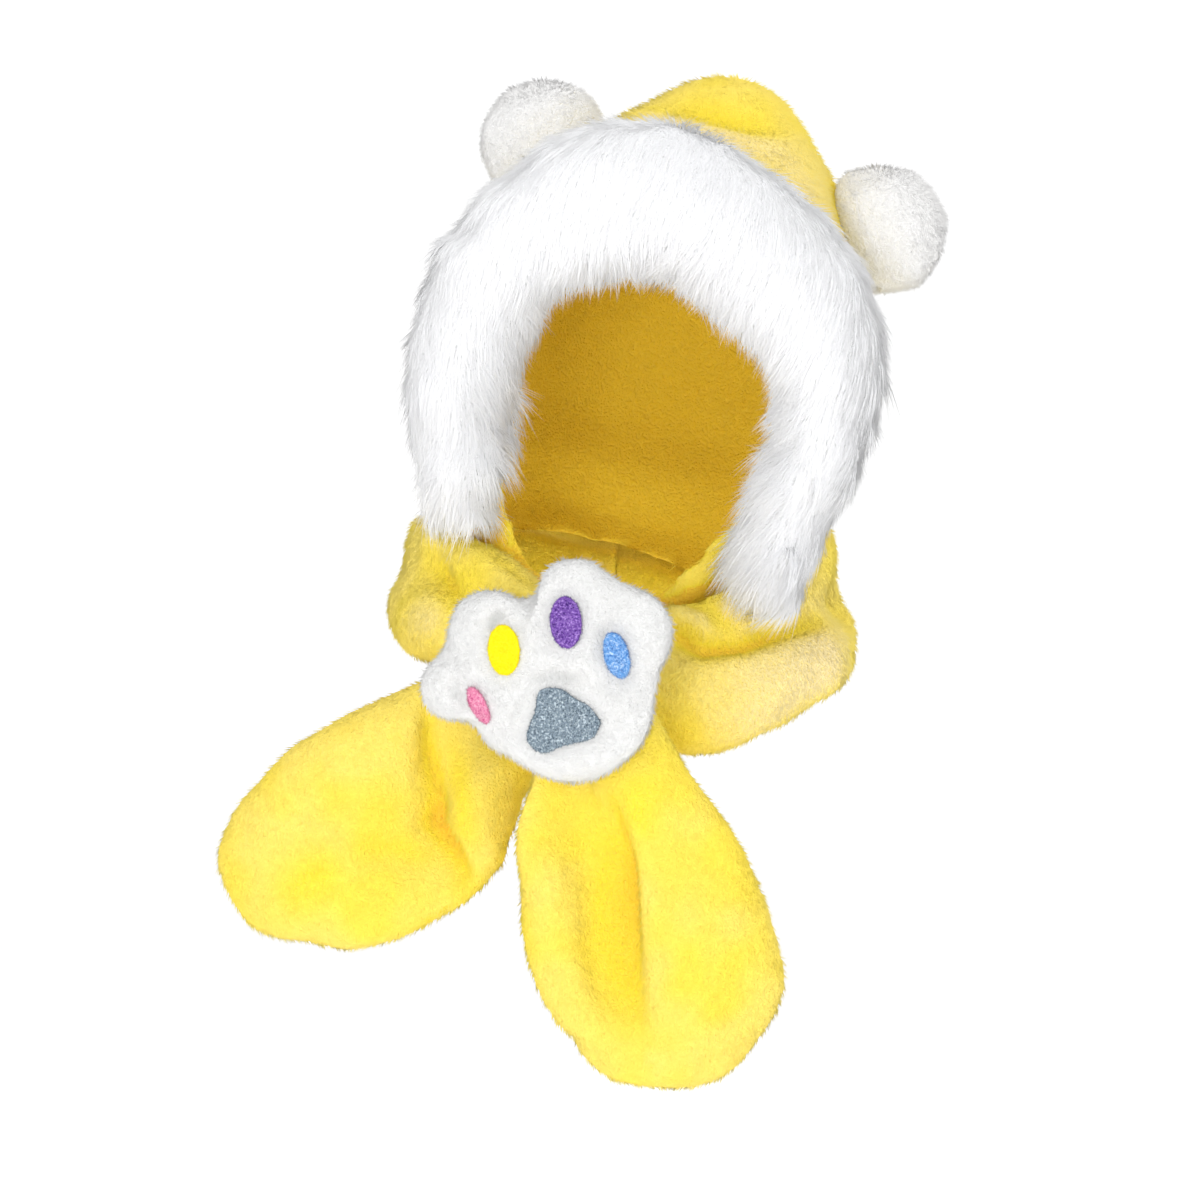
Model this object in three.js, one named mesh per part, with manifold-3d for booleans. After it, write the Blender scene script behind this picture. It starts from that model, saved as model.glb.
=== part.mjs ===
// Child's plush hood scarf with animal ears: a hollow yellow hood with a deep white fur brim round the
// face, two ball ears, a scarf whose two halves wrap the neck and hang as padded tails, and a white paw
// patch with five coloured pads that closes the scarf at the throat. It is held as it is worn, with the
// head tilted. Millimetres, +Z up, +X to the right seen from the front, +Y towards the back of the head.
// The origin is where the crown of the head touches the inside of the hood.
import * as THREE from "three";
import { mergeVertices } from "three/addons/utils/BufferGeometryUtils.js";
import Module from "manifold-3d";

const wasm = await Module();
wasm.setup();

// Driving dimensions, in millimetres and degrees
const clearance = 0.3;
const hoodWidth = 160;
const hoodHeight = 222;
const hoodDepth = 196;
const hoodWall = 7;
const hoodRoll = 15.5;
const hoodPitch = 12;
const hoodYaw = 5;
const faceEdge = 72;
const neckRimDrop = 215;
const brimWidth = 146;
const brimHeight = 150;
const brimTopDrop = 42;
const brimRoll = 42;
const brimDepth = 50;
const furLength = 12;
const lockRadius = 9;
const earDiameter = 49;
const earPile = 5;
const wrapWidth = 188;
const wrapDepth = 160;
const tailDrop = 190;
const bandWidth = 124;
const bandThickness = 38;
const pawWidth = 104;
const pawThickness = 26;
const padRelief = 1.3;

// How the pieces lie against each other
const wrapShift = { x: 2, y: -10.5, z: -15.5 };
const pawTurn = -10;
const pawTilt = 6;
const pawSeat = { along: 0.43, x: -0.015, z: -0.03, intoBand: 0.4, intoPaw: 0.42 };
const fullTurn = 2 * Math.PI;
const radians = THREE.MathUtils.degToRad;

// The hood from its tip down, a row for each level section. drop is a share of the hood's height, half a
// share of half its width, front and back are shares of its depth, and centre moves the section back.
const hoodSections = [
  { drop: 0.0, half: 0.0, front: 0.0, back: 0.0, centre: 0.04 },
  { drop: 0.01, half: 0.17, front: 0.07, back: 0.08, centre: 0.04 },
  { drop: 0.045, half: 0.32, front: 0.14, back: 0.15, centre: 0.035 },
  { drop: 0.1, half: 0.48, front: 0.22, back: 0.23, centre: 0.03 },
  { drop: 0.17, half: 0.67, front: 0.34, back: 0.32, centre: 0.02 },
  { drop: 0.28, half: 0.88, front: 0.45, back: 0.41, centre: 0.01 },
  { drop: 0.42, half: 0.985, front: 0.51, back: 0.46, centre: 0.0 },
  { drop: 0.58, half: 1.0, front: 0.53, back: 0.47, centre: 0.0 },
  { drop: 0.74, half: 0.95, front: 0.52, back: 0.44, centre: 0.01 },
  { drop: 0.88, half: 0.84, front: 0.48, back: 0.35, centre: 0.03 },
  { drop: 1.0, half: 0.72, front: 0.44, back: 0.28, centre: 0.05 },
  { drop: 1.04, half: 0.0, front: 0.0, back: 0.0, centre: 0.05 },
];
// Folds pressed into the hood. across, back and drop give the middle as shares of half the width, the depth
// and the height, the reaches are shares of the same sizes, and depth is a share of the wall.
const hoodFolds = [
  { across: -0.1, back: -0.16, drop: 0.075, reachX: 0.42, reachY: 0.1, reachZ: 0.05, depth: 0.85 },
  { across: 0.62, back: 0.0, drop: 0.2, reachX: 0.2, reachY: 0.25, reachZ: 0.06, depth: 0.5 },
  { across: 0.0, back: 0.44, drop: 0.84, reachX: 0.7, reachY: 0.2, reachZ: 0.07, depth: 0.9 },
];

// The brim from the end on the left of the front over the forehead to the right end. across and down are
// shares of half the brim's width and of its height, roll and deep shares of the roll's two sizes.
const brimSections = [
  { across: -0.68, down: 1.05, roll: 0.0, deep: 0.0 },
  { across: -0.7, down: 1.01, roll: 0.62, deep: 0.62 },
  { across: -0.84, down: 0.82, roll: 0.86, deep: 0.86 },
  { across: -0.99, down: 0.6, roll: 1.0, deep: 0.96 },
  { across: -0.99, down: 0.36, roll: 1.06, deep: 1.0 },
  { across: -0.72, down: 0.12, roll: 1.28, deep: 1.06 },
  { across: 0.0, down: 0.0, roll: 1.46, deep: 1.1 },
  { across: 0.72, down: 0.12, roll: 1.28, deep: 1.06 },
  { across: 0.99, down: 0.36, roll: 1.06, deep: 1.0 },
  { across: 1.0, down: 0.6, roll: 1.0, deep: 0.96 },
  { across: 0.98, down: 0.8, roll: 0.98, deep: 0.9 },
  { across: 0.96, down: 0.93, roll: 0.84, deep: 0.74 },
  { across: 0.95, down: 0.98, roll: 0.0, deep: 0.0 },
];

// The ears, placed in shares of half the hood's width, of its depth and of its height
const earPlaces = [
  { name: "ear_left", across: -0.92, back: 0.07, drop: 0.225 },
  { name: "ear_right", across: 0.89, back: 0.07, drop: 0.205 },
];

// The half of the scarf that comes round the right of the neck, runs behind the paw and hangs on the left.
// x and y are shares of half the wrap's width and depth from its middle, z a share of the tails' drop,
// facing, lean and turn aim the band in degrees, wide and thick are shares of half the band's two sizes,
// crease is a share of its thickness and creaseAt a share of its half width.
const crossingUnder = [
  { x: 0.0, y: 1.0, z: 0.1, facing: 180, lean: 12, turn: 90, wide: 0.0, thick: 0.0, crease: 0, creaseAt: 0 },
  { x: 0.0, y: 1.0, z: 0.1, facing: 180, lean: 12, turn: 90, wide: 0.48, thick: 0.84, crease: 0, creaseAt: 0 },
  { x: 0.56, y: 0.84, z: 0.05, facing: 140, lean: 12, turn: 90, wide: 0.48, thick: 0.92, crease: 0.1, creaseAt: 0 },
  { x: 0.87, y: 0.12, z: 0.01, facing: 92, lean: 12, turn: 90, wide: 0.52, thick: 1.05, crease: 0.2, creaseAt: 0.05 },
  { x: 0.79, y: -0.44, z: -0.05, facing: 48, lean: 14, turn: 92, wide: 0.6, thick: 1.12, crease: 0.24, creaseAt: 0.2 },
  { x: 0.46, y: -0.76, z: -0.12, facing: 22, lean: 14, turn: 98, wide: 0.62, thick: 1.08, crease: 0.24, creaseAt: 0.34 },
  { x: 0.1, y: -0.88, z: -0.16, facing: 8, lean: 10, turn: 104, wide: 0.5, thick: 0.9, crease: 0.2, creaseAt: 0.3 },
  { x: -0.22, y: -0.94, z: -0.19, facing: 0, lean: 4, turn: 110, wide: 0.44, thick: 0.8, crease: 0.16, creaseAt: 0.2 },
  { x: -0.52, y: -1.02, z: -0.25, facing: -6, lean: 0, turn: 124, wide: 0.54, thick: 0.84, crease: 0.26, creaseAt: 0.04 },
  { x: -0.79, y: -1.06, z: -0.325, facing: -8, lean: 0, turn: 148, wide: 0.68, thick: 0.86, crease: 0.4, creaseAt: -0.06 },
  { x: -0.95, y: -1.06, z: -0.405, facing: -10, lean: -2, turn: 166, wide: 0.88, thick: 0.88, crease: 0.44, creaseAt: -0.24 },
  { x: -1.04, y: -1.04, z: -0.52, facing: -12, lean: -4, turn: 174, wide: 1.02, thick: 0.88, crease: 0.42, creaseAt: -0.4 },
  { x: -1.1, y: -1.02, z: -0.6, facing: -12, lean: -4, turn: 176, wide: 0.88, thick: 0.84, crease: 0.3, creaseAt: -0.6 },
  { x: -1.15, y: -1.0, z: -0.66, facing: -12, lean: -4, turn: 178, wide: 0.7, thick: 0.74, crease: 0.1, creaseAt: -0.6 },
  { x: -1.17, y: -1.0, z: -0.7, facing: -12, lean: -4, turn: 178, wide: 0.48, thick: 0.56, crease: 0, creaseAt: -0.6 },
  { x: -1.18, y: -1.0, z: -0.725, facing: -12, lean: -4, turn: 178, wide: 0.0, thick: 0.0, crease: 0, creaseAt: 0 },
];
// The half that comes round the left of the neck, crosses over the first and hangs on the right.
const crossingOver = [
  { x: 0.0, y: 1.0, z: 0.1, facing: -180, lean: 12, turn: 90, wide: 0.0, thick: 0.0, crease: 0, creaseAt: 0 },
  { x: 0.0, y: 1.0, z: 0.1, facing: -180, lean: 12, turn: 90, wide: 0.48, thick: 0.84, crease: 0, creaseAt: 0 },
  { x: -0.52, y: 0.8, z: 0.1, facing: -140, lean: 12, turn: 90, wide: 0.47, thick: 0.92, crease: 0.1, creaseAt: 0 },
  { x: -0.79, y: 0.1, z: 0.07, facing: -92, lean: 12, turn: 90, wide: 0.48, thick: 1.02, crease: 0.2, creaseAt: 0.1 },
  { x: -0.73, y: -0.5, z: 0.03, facing: -50, lean: 14, turn: 88, wide: 0.5, thick: 1.08, crease: 0.26, creaseAt: 0.2 },
  { x: -0.54, y: -0.92, z: -0.01, facing: -26, lean: 12, turn: 80, wide: 0.46, thick: 0.98, crease: 0.26, creaseAt: 0.2 },
  { x: -0.34, y: -1.2, z: -0.08, facing: -12, lean: 6, turn: 60, wide: 0.42, thick: 0.84, crease: 0.2, creaseAt: 0.1 },
  { x: -0.18, y: -1.34, z: -0.18, facing: -4, lean: 2, turn: 28, wide: 0.44, thick: 0.8, crease: 0.18, creaseAt: -0.1 },
  { x: -0.05, y: -1.38, z: -0.29, facing: 0, lean: 0, turn: 8, wide: 0.52, thick: 0.86, crease: 0.34, creaseAt: -0.28 },
  { x: 0.04, y: -1.38, z: -0.41, facing: 2, lean: 0, turn: 3, wide: 0.66, thick: 0.92, crease: 0.44, creaseAt: -0.36 },
  { x: 0.11, y: -1.36, z: -0.54, facing: 3, lean: -2, turn: 2, wide: 0.8, thick: 0.94, crease: 0.46, creaseAt: -0.32 },
  { x: 0.17, y: -1.33, z: -0.68, facing: 4, lean: -4, turn: 2, wide: 0.87, thick: 0.92, crease: 0.42, creaseAt: -0.33 },
  { x: 0.22, y: -1.3, z: -0.8, facing: 4, lean: -4, turn: 2, wide: 0.82, thick: 0.9, crease: 0.26, creaseAt: -0.33 },
  { x: 0.24, y: -1.28, z: -0.9, facing: 4, lean: -4, turn: 2, wide: 0.64, thick: 0.8, crease: 0.08, creaseAt: -0.3 },
  { x: 0.25, y: -1.27, z: -0.97, facing: 4, lean: -4, turn: 2, wide: 0.42, thick: 0.6, crease: 0, creaseAt: 0 },
  { x: 0.26, y: -1.26, z: -1.005, facing: 4, lean: -4, turn: 2, wide: 0.0, thick: 0.0, crease: 0, creaseAt: 0 },
];

// The paw's rounded lobes, as shares of its width from its middle
const pawLobes = [
  { name: "palm", x: 0.1, z: -0.07, radius: 0.335 },
  { name: "heel", x: -0.16, z: -0.17, radius: 0.12 },
  { name: "outer_toe", x: -0.335, z: -0.04, radius: 0.152 },
  { name: "second_toe", x: -0.195, z: 0.16, radius: 0.195 },
  { name: "third_toe", x: 0.12, z: 0.295, radius: 0.178 },
  { name: "inner_toe", x: 0.32, z: 0.175, radius: 0.185 },
];
// The coloured pads on the toes, ovals placed and sized as shares of the paw's width, slant in degrees
const toePads = [
  { name: "outer_toe_pad", x: -0.232, z: -0.09, half: 0.032, tall: 0.078, slant: 25, colour: 0xf191b7 },
  { name: "second_toe_pad", x: -0.129, z: 0.12, half: 0.063, tall: 0.098, slant: 3, colour: 0xf8e70a },
  { name: "third_toe_pad", x: 0.11, z: 0.225, half: 0.062, tall: 0.1, slant: 4, colour: 0x7447a6 },
  { name: "inner_toe_pad", x: 0.3, z: 0.1, half: 0.048, tall: 0.092, slant: 14, colour: 0x6fa4e2 },
];
// The palm pad's three lobes round its middle: direction in degrees from +X and reach in shares of the
// paw's width. Between them the outline draws in.
const palmPad = { name: "palm_pad", x: 0.0885, z: -0.1525, colour: 0x8796a4 };
const palmReach = [
  { at: 0, reach: 0.148 },
  { at: 30, reach: 0.123 },
  { at: 58, reach: 0.104 },
  { at: 88, reach: 0.125 },
  { at: 112, reach: 0.143 },
  { at: 129, reach: 0.143 },
  { at: 156, reach: 0.111 },
  { at: 180, reach: 0.12 },
  { at: 206, reach: 0.155 },
  { at: 236, reach: 0.146 },
  { at: 267, reach: 0.094 },
  { at: 298, reach: 0.092 },
  { at: 332, reach: 0.132 },
];

// Turns closed geometry into a solid whose faces point out.
function solidOf(geometry) {
  const bare = geometry.clone();
  bare.deleteAttribute("normal");
  bare.deleteAttribute("uv");
  const merged = mergeVertices(bare, 1e-3);
  const corners = new Uint32Array(merged.index.array);
  const made = (order) =>
    new wasm.Manifold(
      new wasm.Mesh({ numProp: 3, vertProperties: merged.attributes.position.array, triVerts: order }),
    );
  const solid = made(corners);
  return solid.volume() > 0 ? solid : made(corners.reverse());
}

// Turns a solid back into geometry for a mesh.
function geometryOf(solid) {
  const mesh = solid.getMesh();
  const geometry = new THREE.BufferGeometry();
  geometry.setAttribute("position", new THREE.BufferAttribute(mesh.vertProperties, mesh.numProp));
  geometry.setIndex(new THREE.BufferAttribute(mesh.triVerts, 1));
  return geometry;
}

// The largest loose part of a solid, without the crumbs that a cut leaves.
function mainPart(solid) {
  return solid.decompose().reduce((best, piece) => (piece.volume() > best.volume() ? piece : best));
}

// A solid moved by a matrix.
function moved(solid, matrix) {
  return solidOf(geometryOf(solid).applyMatrix4(matrix));
}

// A closed skin whose pointAt(along, around) runs from pole to pole and once round.
function skin(sides, steps, pointAt) {
  const geometry = new THREE.SphereGeometry(1, sides, steps);
  const place = geometry.attributes.position;
  for (let i = 0; i < place.count; i += 1) {
    const along = Math.floor(i / (sides + 1)) / steps;
    const around = ((i % (sides + 1)) % sides) / sides;
    const at = pointAt(along, around * fullTurn);
    place.setXYZ(i, at.x, at.y, at.z);
  }
  return solidOf(geometry);
}

// Every column of a table at a share of the way through its rows, on a smooth curve with no overshoot.
function between(rows, share) {
  const last = rows.length - 1;
  const row = Math.min(Math.floor(share * last), last - 1);
  const t = share * last - row;
  const made = {};
  for (const column of Object.keys(rows[0]).filter((name) => typeof rows[0][name] === "number")) {
    const value = (i) => rows[THREE.MathUtils.clamp(i, 0, last)][column];
    const rise = value(row + 1) - value(row);
    const slope = (before, after) => (before * after > 0 ? (2 * before * after) / (before + after) : 0);
    const start = row === 0 ? rise : slope(value(row) - value(row - 1), rise);
    const end = row + 1 === last ? rise : slope(rise, value(row + 2) - value(row + 1));
    const eased = rise * t ** 2 * (3 - 2 * t);
    made[column] = value(row) + start * t * (1 - t) ** 2 + eased + end * t ** 2 * (t - 1);
  }
  return made;
}

// A share bent to a rounder or squarer oval.
const bent = (value, power) => Math.sign(value) * Math.abs(value) ** power;
const bell = (distance) => Math.exp(-distance * distance);

// A point of the hood's outside in its own frame, pushed out by grow.
function hoodPoint(along, around, grow) {
  const row = between(hoodSections, along);
  const ovalPower = 0.86;
  const side = bent(Math.cos(around), ovalPower);
  const ahead = bent(Math.sin(around), ovalPower);
  const growth = row.half > 0 ? grow : 0;
  const reach = (ahead < 0 ? row.front : row.back) * hoodDepth + growth;
  const middle = hoodWall - hoodHeight / 2;
  const height = hoodWall - row.drop * hoodHeight;
  const point = new THREE.Vector3(
    side * ((row.half * hoodWidth) / 2 + growth),
    row.centre * hoodDepth + ahead * reach,
    middle + ((height - middle) * (hoodHeight / 2 + grow)) / (hoodHeight / 2),
  );
  const inward = new THREE.Vector3(0, 0, middle).sub(point).normalize();
  for (const fold of hoodFolds) {
    const away = Math.hypot(
      (point.x / (hoodWidth / 2) - fold.across) / fold.reachX,
      (point.y / hoodDepth - fold.back) / fold.reachY,
      ((hoodWall - point.z) / hoodHeight - fold.drop) / fold.reachZ,
    );
    point.addScaledVector(inward, fold.depth * hoodWall * bell(away));
  }
  return point;
}

const hoodEgg = (grow) => skin(26, 15, (along, around) => hoodPoint(along, around, grow));

// A block between two corners, for cutting the hood open.
function block(low, high) {
  const size = high.clone().sub(low);
  const middle = low.clone().add(high).multiplyScalar(0.5);
  const geometry = new THREE.BoxGeometry(size.x, size.y, size.z);
  return solidOf(geometry.translate(middle.x, middle.y, middle.z));
}

// The hollow hood, open at the face and at the neck, thickened by grow on every side.
function hoodShell(grow) {
  const far = 2 * hoodHeight;
  const face = block(
    new THREE.Vector3(-far, -far, -far),
    new THREE.Vector3(far, -faceEdge - grow, far),
  );
  const neck = block(
    new THREE.Vector3(-far, -far, -far),
    new THREE.Vector3(far, far, hoodWall - neckRimDrop - grow),
  );
  return mainPart(hoodEgg(grow).subtract(hoodEgg(-hoodWall - grow)).subtract(face).subtract(neck));
}

// The middle and the two directions of the brim's roll at a share of the way along it.
function brimFrame(along) {
  const place = (share) => {
    const row = between(brimSections, THREE.MathUtils.clamp(share, 0, 1));
    return new THREE.Vector3(
      (row.across * brimWidth) / 2,
      -faceEdge,
      -brimTopDrop - row.down * brimHeight,
    );
  };
  const nearby = 0.02;
  const travel = place(along + nearby).sub(place(along - nearby)).normalize();
  const ahead = new THREE.Vector3(0, -1, 0);
  return { middle: place(along), ahead, outward: travel.clone().cross(ahead).normalize() };
}

// A point of the brim's outside, drawn in by inset.
function brimPoint(along, around, inset) {
  const row = between(brimSections, along);
  const { middle, ahead, outward } = brimFrame(along);
  const shrunk = (size) => Math.max(size / 2 - inset, size / 8);
  return middle
    .clone()
    .addScaledVector(outward, Math.cos(around) * shrunk(row.roll * brimRoll))
    .addScaledVector(ahead, Math.sin(around) * shrunk(row.deep * brimDepth));
}

// A tapered lock of fur, rooted at a point and lying along a direction.
function lock(root, direction, length, radius) {
  const sides = 3;
  const sunk = 0.3;
  const geometry = new THREE.ConeGeometry(radius, length, sides).translate(0, length * (0.5 - sunk), 0);
  const turn = new THREE.Quaternion().setFromUnitVectors(new THREE.Vector3(0, 1, 0), direction);
  geometry.applyQuaternion(turn).translate(root.x, root.y, root.z);
  return solidOf(geometry);
}

// Shares along the brim that lie evenly spaced on its middle line, without the two ends.
function evenStations(count) {
  const samples = 120;
  const walked = [0];
  for (let i = 1; i <= samples; i += 1) {
    const step = brimFrame(i / samples).middle.distanceTo(brimFrame((i - 1) / samples).middle);
    walked.push(walked[i - 1] + step);
  }
  const total = walked[samples];
  const lead = 0.7;
  return Array.from({ length: count }, (_, i) => {
    const wanted = ((i + lead) / (count - 1 + 2 * lead)) * total;
    return walked.findIndex((length) => length >= wanted) / samples;
  });
}

// The fur brim: a padded roll with rows of locks, combed over the face inside and away from it outside.
function furBrim() {
  const stations = evenStations(22);
  const rows = [-35, 8, 58, 112, 165, 208];
  const stagger = 24;
  const inset = furLength * 0.2;
  const lockLength = furLength * 1.55;
  const insideFrom = 0.4;
  const comb = { lift: 0.6, inwards: -0.9, outwards: 0.6, fall: -0.55 };
  let brim = skin(12, 26, (along, around) => brimPoint(along, around, inset));
  stations.forEach((along, i) => {
    const { middle, outward } = brimFrame(along);
    for (const row of rows) {
      const around = radians(row + (i % 2) * stagger);
      const root = brimPoint(along, around, inset);
      const direction = root.clone().sub(middle).normalize().multiplyScalar(comb.lift);
      direction.addScaledVector(outward, Math.cos(around) < insideFrom ? comb.inwards : comb.outwards);
      direction.z += comb.fall;
      brim = brim.add(lock(root, direction.normalize(), lockLength, lockRadius));
    }
  });
  return brim;
}

// A ball ear with short locks all round, in the hood's frame.
function ear(place) {
  const locks = 26;
  const lockLength = earPile * 1.6;
  const lockWidth = lockRadius * 0.8;
  const radius = (earDiameter - earPile) / 2;
  const goldenAngle = Math.PI * (3 - Math.sqrt(5));
  const centre = new THREE.Vector3(
    (place.across * hoodWidth) / 2,
    place.back * hoodDepth,
    hoodWall - place.drop * hoodHeight,
  );
  let ball = solidOf(new THREE.SphereGeometry(radius, 12, 8).translate(centre.x, centre.y, centre.z));
  for (let i = 0; i < locks; i += 1) {
    const height = 1 - (2 * (i + 0.5)) / locks;
    const ring = Math.sqrt(1 - height * height);
    const out = new THREE.Vector3(Math.cos(i * goldenAngle) * ring, Math.sin(i * goldenAngle) * ring, height);
    const root = centre.clone().addScaledVector(out, radius);
    ball = ball.add(lock(root, out, lockLength, lockWidth));
  }
  return ball;
}

// The hood's pose and the middle of the scarf's wrap, which follows the hood's neck rim.
const hoodPose = new THREE.Euler(radians(hoodPitch), radians(hoodRoll), radians(-hoodYaw), "YXZ");
const hoodMatrix = new THREE.Matrix4().makeRotationFromEuler(hoodPose);
const rimMiddle = new THREE.Vector3(0, 0, hoodWall - neckRimDrop).applyMatrix4(hoodMatrix);
const wrapMiddle = rimMiddle.add(new THREE.Vector3(wrapShift.x, wrapShift.y, wrapShift.z));

// The middle and directions of a scarf half at a share of the way along it.
function bandFrame(rows, along) {
  const row = between(rows, along);
  const facing = radians(row.facing);
  const lean = radians(row.lean);
  const turn = radians(row.turn);
  const right = new THREE.Vector3(Math.cos(facing), Math.sin(facing), 0);
  const level = new THREE.Vector3(Math.sin(facing), -Math.cos(facing), 0);
  const up = new THREE.Vector3(0, 0, Math.cos(lean)).addScaledVector(level, -Math.sin(lean));
  const out = level.multiplyScalar(Math.cos(lean)).add(new THREE.Vector3(0, 0, Math.sin(lean)));
  const across = right.multiplyScalar(Math.cos(turn)).addScaledVector(up, Math.sin(turn));
  const middle = new THREE.Vector3(
    wrapMiddle.x + (row.x * wrapWidth) / 2,
    wrapMiddle.y + (row.y * wrapDepth) / 2,
    wrapMiddle.z + row.z * tailDrop,
  );
  return { row, middle, across, out };
}

// A point of a scarf half, pushed out by grow, with its lengthways crease on the outer face.
function bandPoint(rows, along, around, grow) {
  const { row, middle, across, out } = bandFrame(rows, along);
  const seamSide = Math.sign(rows[1].facing) * (clearance / 2);
  const growth = row.wide > 0 ? grow : 0;
  const ovalPower = 0.9;
  const share = bent(Math.cos(around), ovalPower);
  const creaseWidth = 0.24;
  const valley = Math.sin(around) > 0 ? bell((share - row.creaseAt) / creaseWidth) * Math.sin(around) : 0;
  const thickness = bent(Math.sin(around), ovalPower) * ((row.thick * bandThickness) / 2 + growth);
  const point = middle
    .clone()
    .addScaledVector(across, share * ((row.wide * bandWidth) / 2 + growth))
    .addScaledVector(out, thickness - valley * row.crease * bandThickness);
  const seamShare = 1 / 6;
  point.x += seamSide * Math.max(0, 1 - along / seamShare);
  return point;
}

const scarfHalf = (rows, grow) => skin(20, 30, (along, around) => bandPoint(rows, along, around, grow));

// The paw's outline from its middle in a direction, in shares of its width: the furthest lobe that way.
function pawReach(angle) {
  const ray = new THREE.Vector2(Math.cos(angle), Math.sin(angle));
  const sharpness = 14;
  const reaches = pawLobes.map((lobe) => {
    const along = ray.x * lobe.x + ray.y * lobe.z;
    const aside = ray.x * lobe.z - ray.y * lobe.x;
    const inside = lobe.radius ** 2 - aside ** 2;
    return inside > 0 ? along + Math.sqrt(inside) : 0;
  });
  return reaches.reduce((sum, reach) => sum + Math.max(reach, 0) ** sharpness, 0) ** (1 / sharpness);
}

// The paw is a pillow in its own frame, facing -Y, puffed out by grow.
function pawPillow(grow) {
  return skin(44, 9, (along, around) => {
    const reach = pawReach(around) * pawWidth + grow;
    const fullness = Math.sin(along * Math.PI) ** 0.62;
    const depth = bent(Math.cos(along * Math.PI), 0.8) * (pawThickness / 2 + grow);
    return new THREE.Vector3(
      Math.cos(around) * reach * fullness,
      -depth,
      Math.sin(around) * reach * fullness,
    );
  });
}

// The paw's frame: it lies on the scarf where the upper half crosses over.
const crossing = bandFrame(crossingOver, pawSeat.along);
const pawMatrix = new THREE.Matrix4()
  .makeRotationFromEuler(new THREE.Euler(radians(pawTilt), 0, radians(pawTurn), "ZXY"))
  .setPosition(
    crossing.middle.x + pawSeat.x * pawWidth,
    crossing.middle.y - pawSeat.intoBand * bandThickness - pawSeat.intoPaw * pawThickness,
    crossing.middle.z + pawSeat.z * pawWidth,
  );

// A prism through the paw's front with the given outline, for cutting a pad from the paw's own curve.
function padPrism(outline) {
  const deep = pawThickness;
  const geometry = new THREE.ExtrudeGeometry(outline, { depth: deep, bevelEnabled: false });
  return solidOf(geometry.rotateX(Math.PI / 2));
}

// A pad that follows the paw's front, raised by the relief.
function pad(outline) {
  const raised = pawPillow(clearance + padRelief).subtract(pawPillow(clearance));
  return mainPart(raised.intersect(padPrism(outline)));
}

function toeOutline({ x, z, half, tall, slant }) {
  const points = 16;
  const oval = new THREE.EllipseCurve(
    x * pawWidth,
    z * pawWidth,
    half * pawWidth,
    tall * pawWidth,
    0,
    fullTurn,
    false,
    radians(slant),
  );
  return new THREE.Shape(oval.getPoints(points).slice(0, points));
}

function palmOutline() {
  const corners = palmReach.map(({ at, reach }) => {
    const direction = radians(at);
    return new THREE.Vector2(
      (palmPad.x + Math.cos(direction) * reach) * pawWidth,
      (palmPad.z + Math.sin(direction) * reach) * pawWidth,
    );
  });
  const points = 32;
  const loop = new THREE.SplineCurve([...corners, corners[0]]);
  return new THREE.Shape(loop.getPoints(points).slice(0, points));
}

// Materials
const plush = (colour, roughness) =>
  new THREE.MeshStandardMaterial({ color: colour, roughness, metalness: 0 });
const yellowPlush = plush(0xfde45c, 0.95);
const whiteFur = plush(0xf0f0f2, 0.95);
const whitePlush = plush(0xf4f3f0, 0.95);

// A named mesh of a solid that is given in the frame of its group.
function piece(name, solid, material) {
  const mesh = new THREE.Mesh(geometryOf(solid), material);
  mesh.name = name;
  return mesh;
}

// Scarf, in the frame of the whole object
const shellOutside = moved(hoodShell(clearance), hoodMatrix);
const overHalf = mainPart(scarfHalf(crossingOver, 0).subtract(shellOutside));
const overRoom = scarfHalf(crossingOver, clearance);
const underHalf = mainPart(scarfHalf(crossingUnder, 0).subtract(overRoom).subtract(shellOutside));
const scarfRoom = overRoom.add(scarfHalf(crossingUnder, clearance));

// Hood, brim and ears, in the hood's frame
const scarfInHood = moved(scarfRoom, hoodMatrix.clone().invert());
const hood = hoodShell(0);
const brim = mainPart(furBrim().subtract(hoodShell(clearance)).subtract(scarfInHood));
const ears = earPlaces.map((place) => mainPart(ear(place).subtract(hoodEgg(clearance))));

// Paw and pads, in the paw's frame
const scarfInPaw = moved(scarfRoom, pawMatrix.clone().invert());
const paw = mainPart(pawPillow(0).subtract(scarfInPaw));

const hoodGroup = new THREE.Group();
hoodGroup.rotation.copy(hoodPose);
hoodGroup.add(
  piece("hood_shell", hood, yellowPlush),
  piece("fur_brim", brim, whiteFur),
  piece("ear_left", ears[0], whitePlush),
  piece("ear_right", ears[1], whitePlush),
);

const pawGroup = new THREE.Group();
pawGroup.applyMatrix4(pawMatrix);
pawGroup.add(piece("paw_patch", paw, whitePlush));
for (const toe of toePads) {
  pawGroup.add(piece(toe.name, pad(toeOutline(toe)), plush(toe.colour, 0.7)));
}
pawGroup.add(piece(palmPad.name, pad(palmOutline()), plush(palmPad.colour, 0.7)));

const hoodScarf = new THREE.Group();
hoodScarf.add(
  hoodGroup,
  piece("scarf_under", underHalf, yellowPlush),
  piece("scarf_over", overHalf, yellowPlush),
  pawGroup,
);

export default hoodScarf;
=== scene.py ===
"""Looks of a child's plush hood scarf: skins, fur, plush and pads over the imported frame.

Every soft part is a smooth padded skin that keeps the place and the form of its solid, with the
pile of the real thing grown on it as fine closed strands. Lengths in the tables are millimetres.
"""

from __future__ import annotations

import logging
import math
from dataclasses import dataclass, field
from enum import Enum
from typing import Callable, Sequence

import bmesh
import bpy
import numpy as np
from mathutils import Matrix, Vector
from mathutils.bvhtree import BVHTree
from mathutils.kdtree import KDTree


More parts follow.
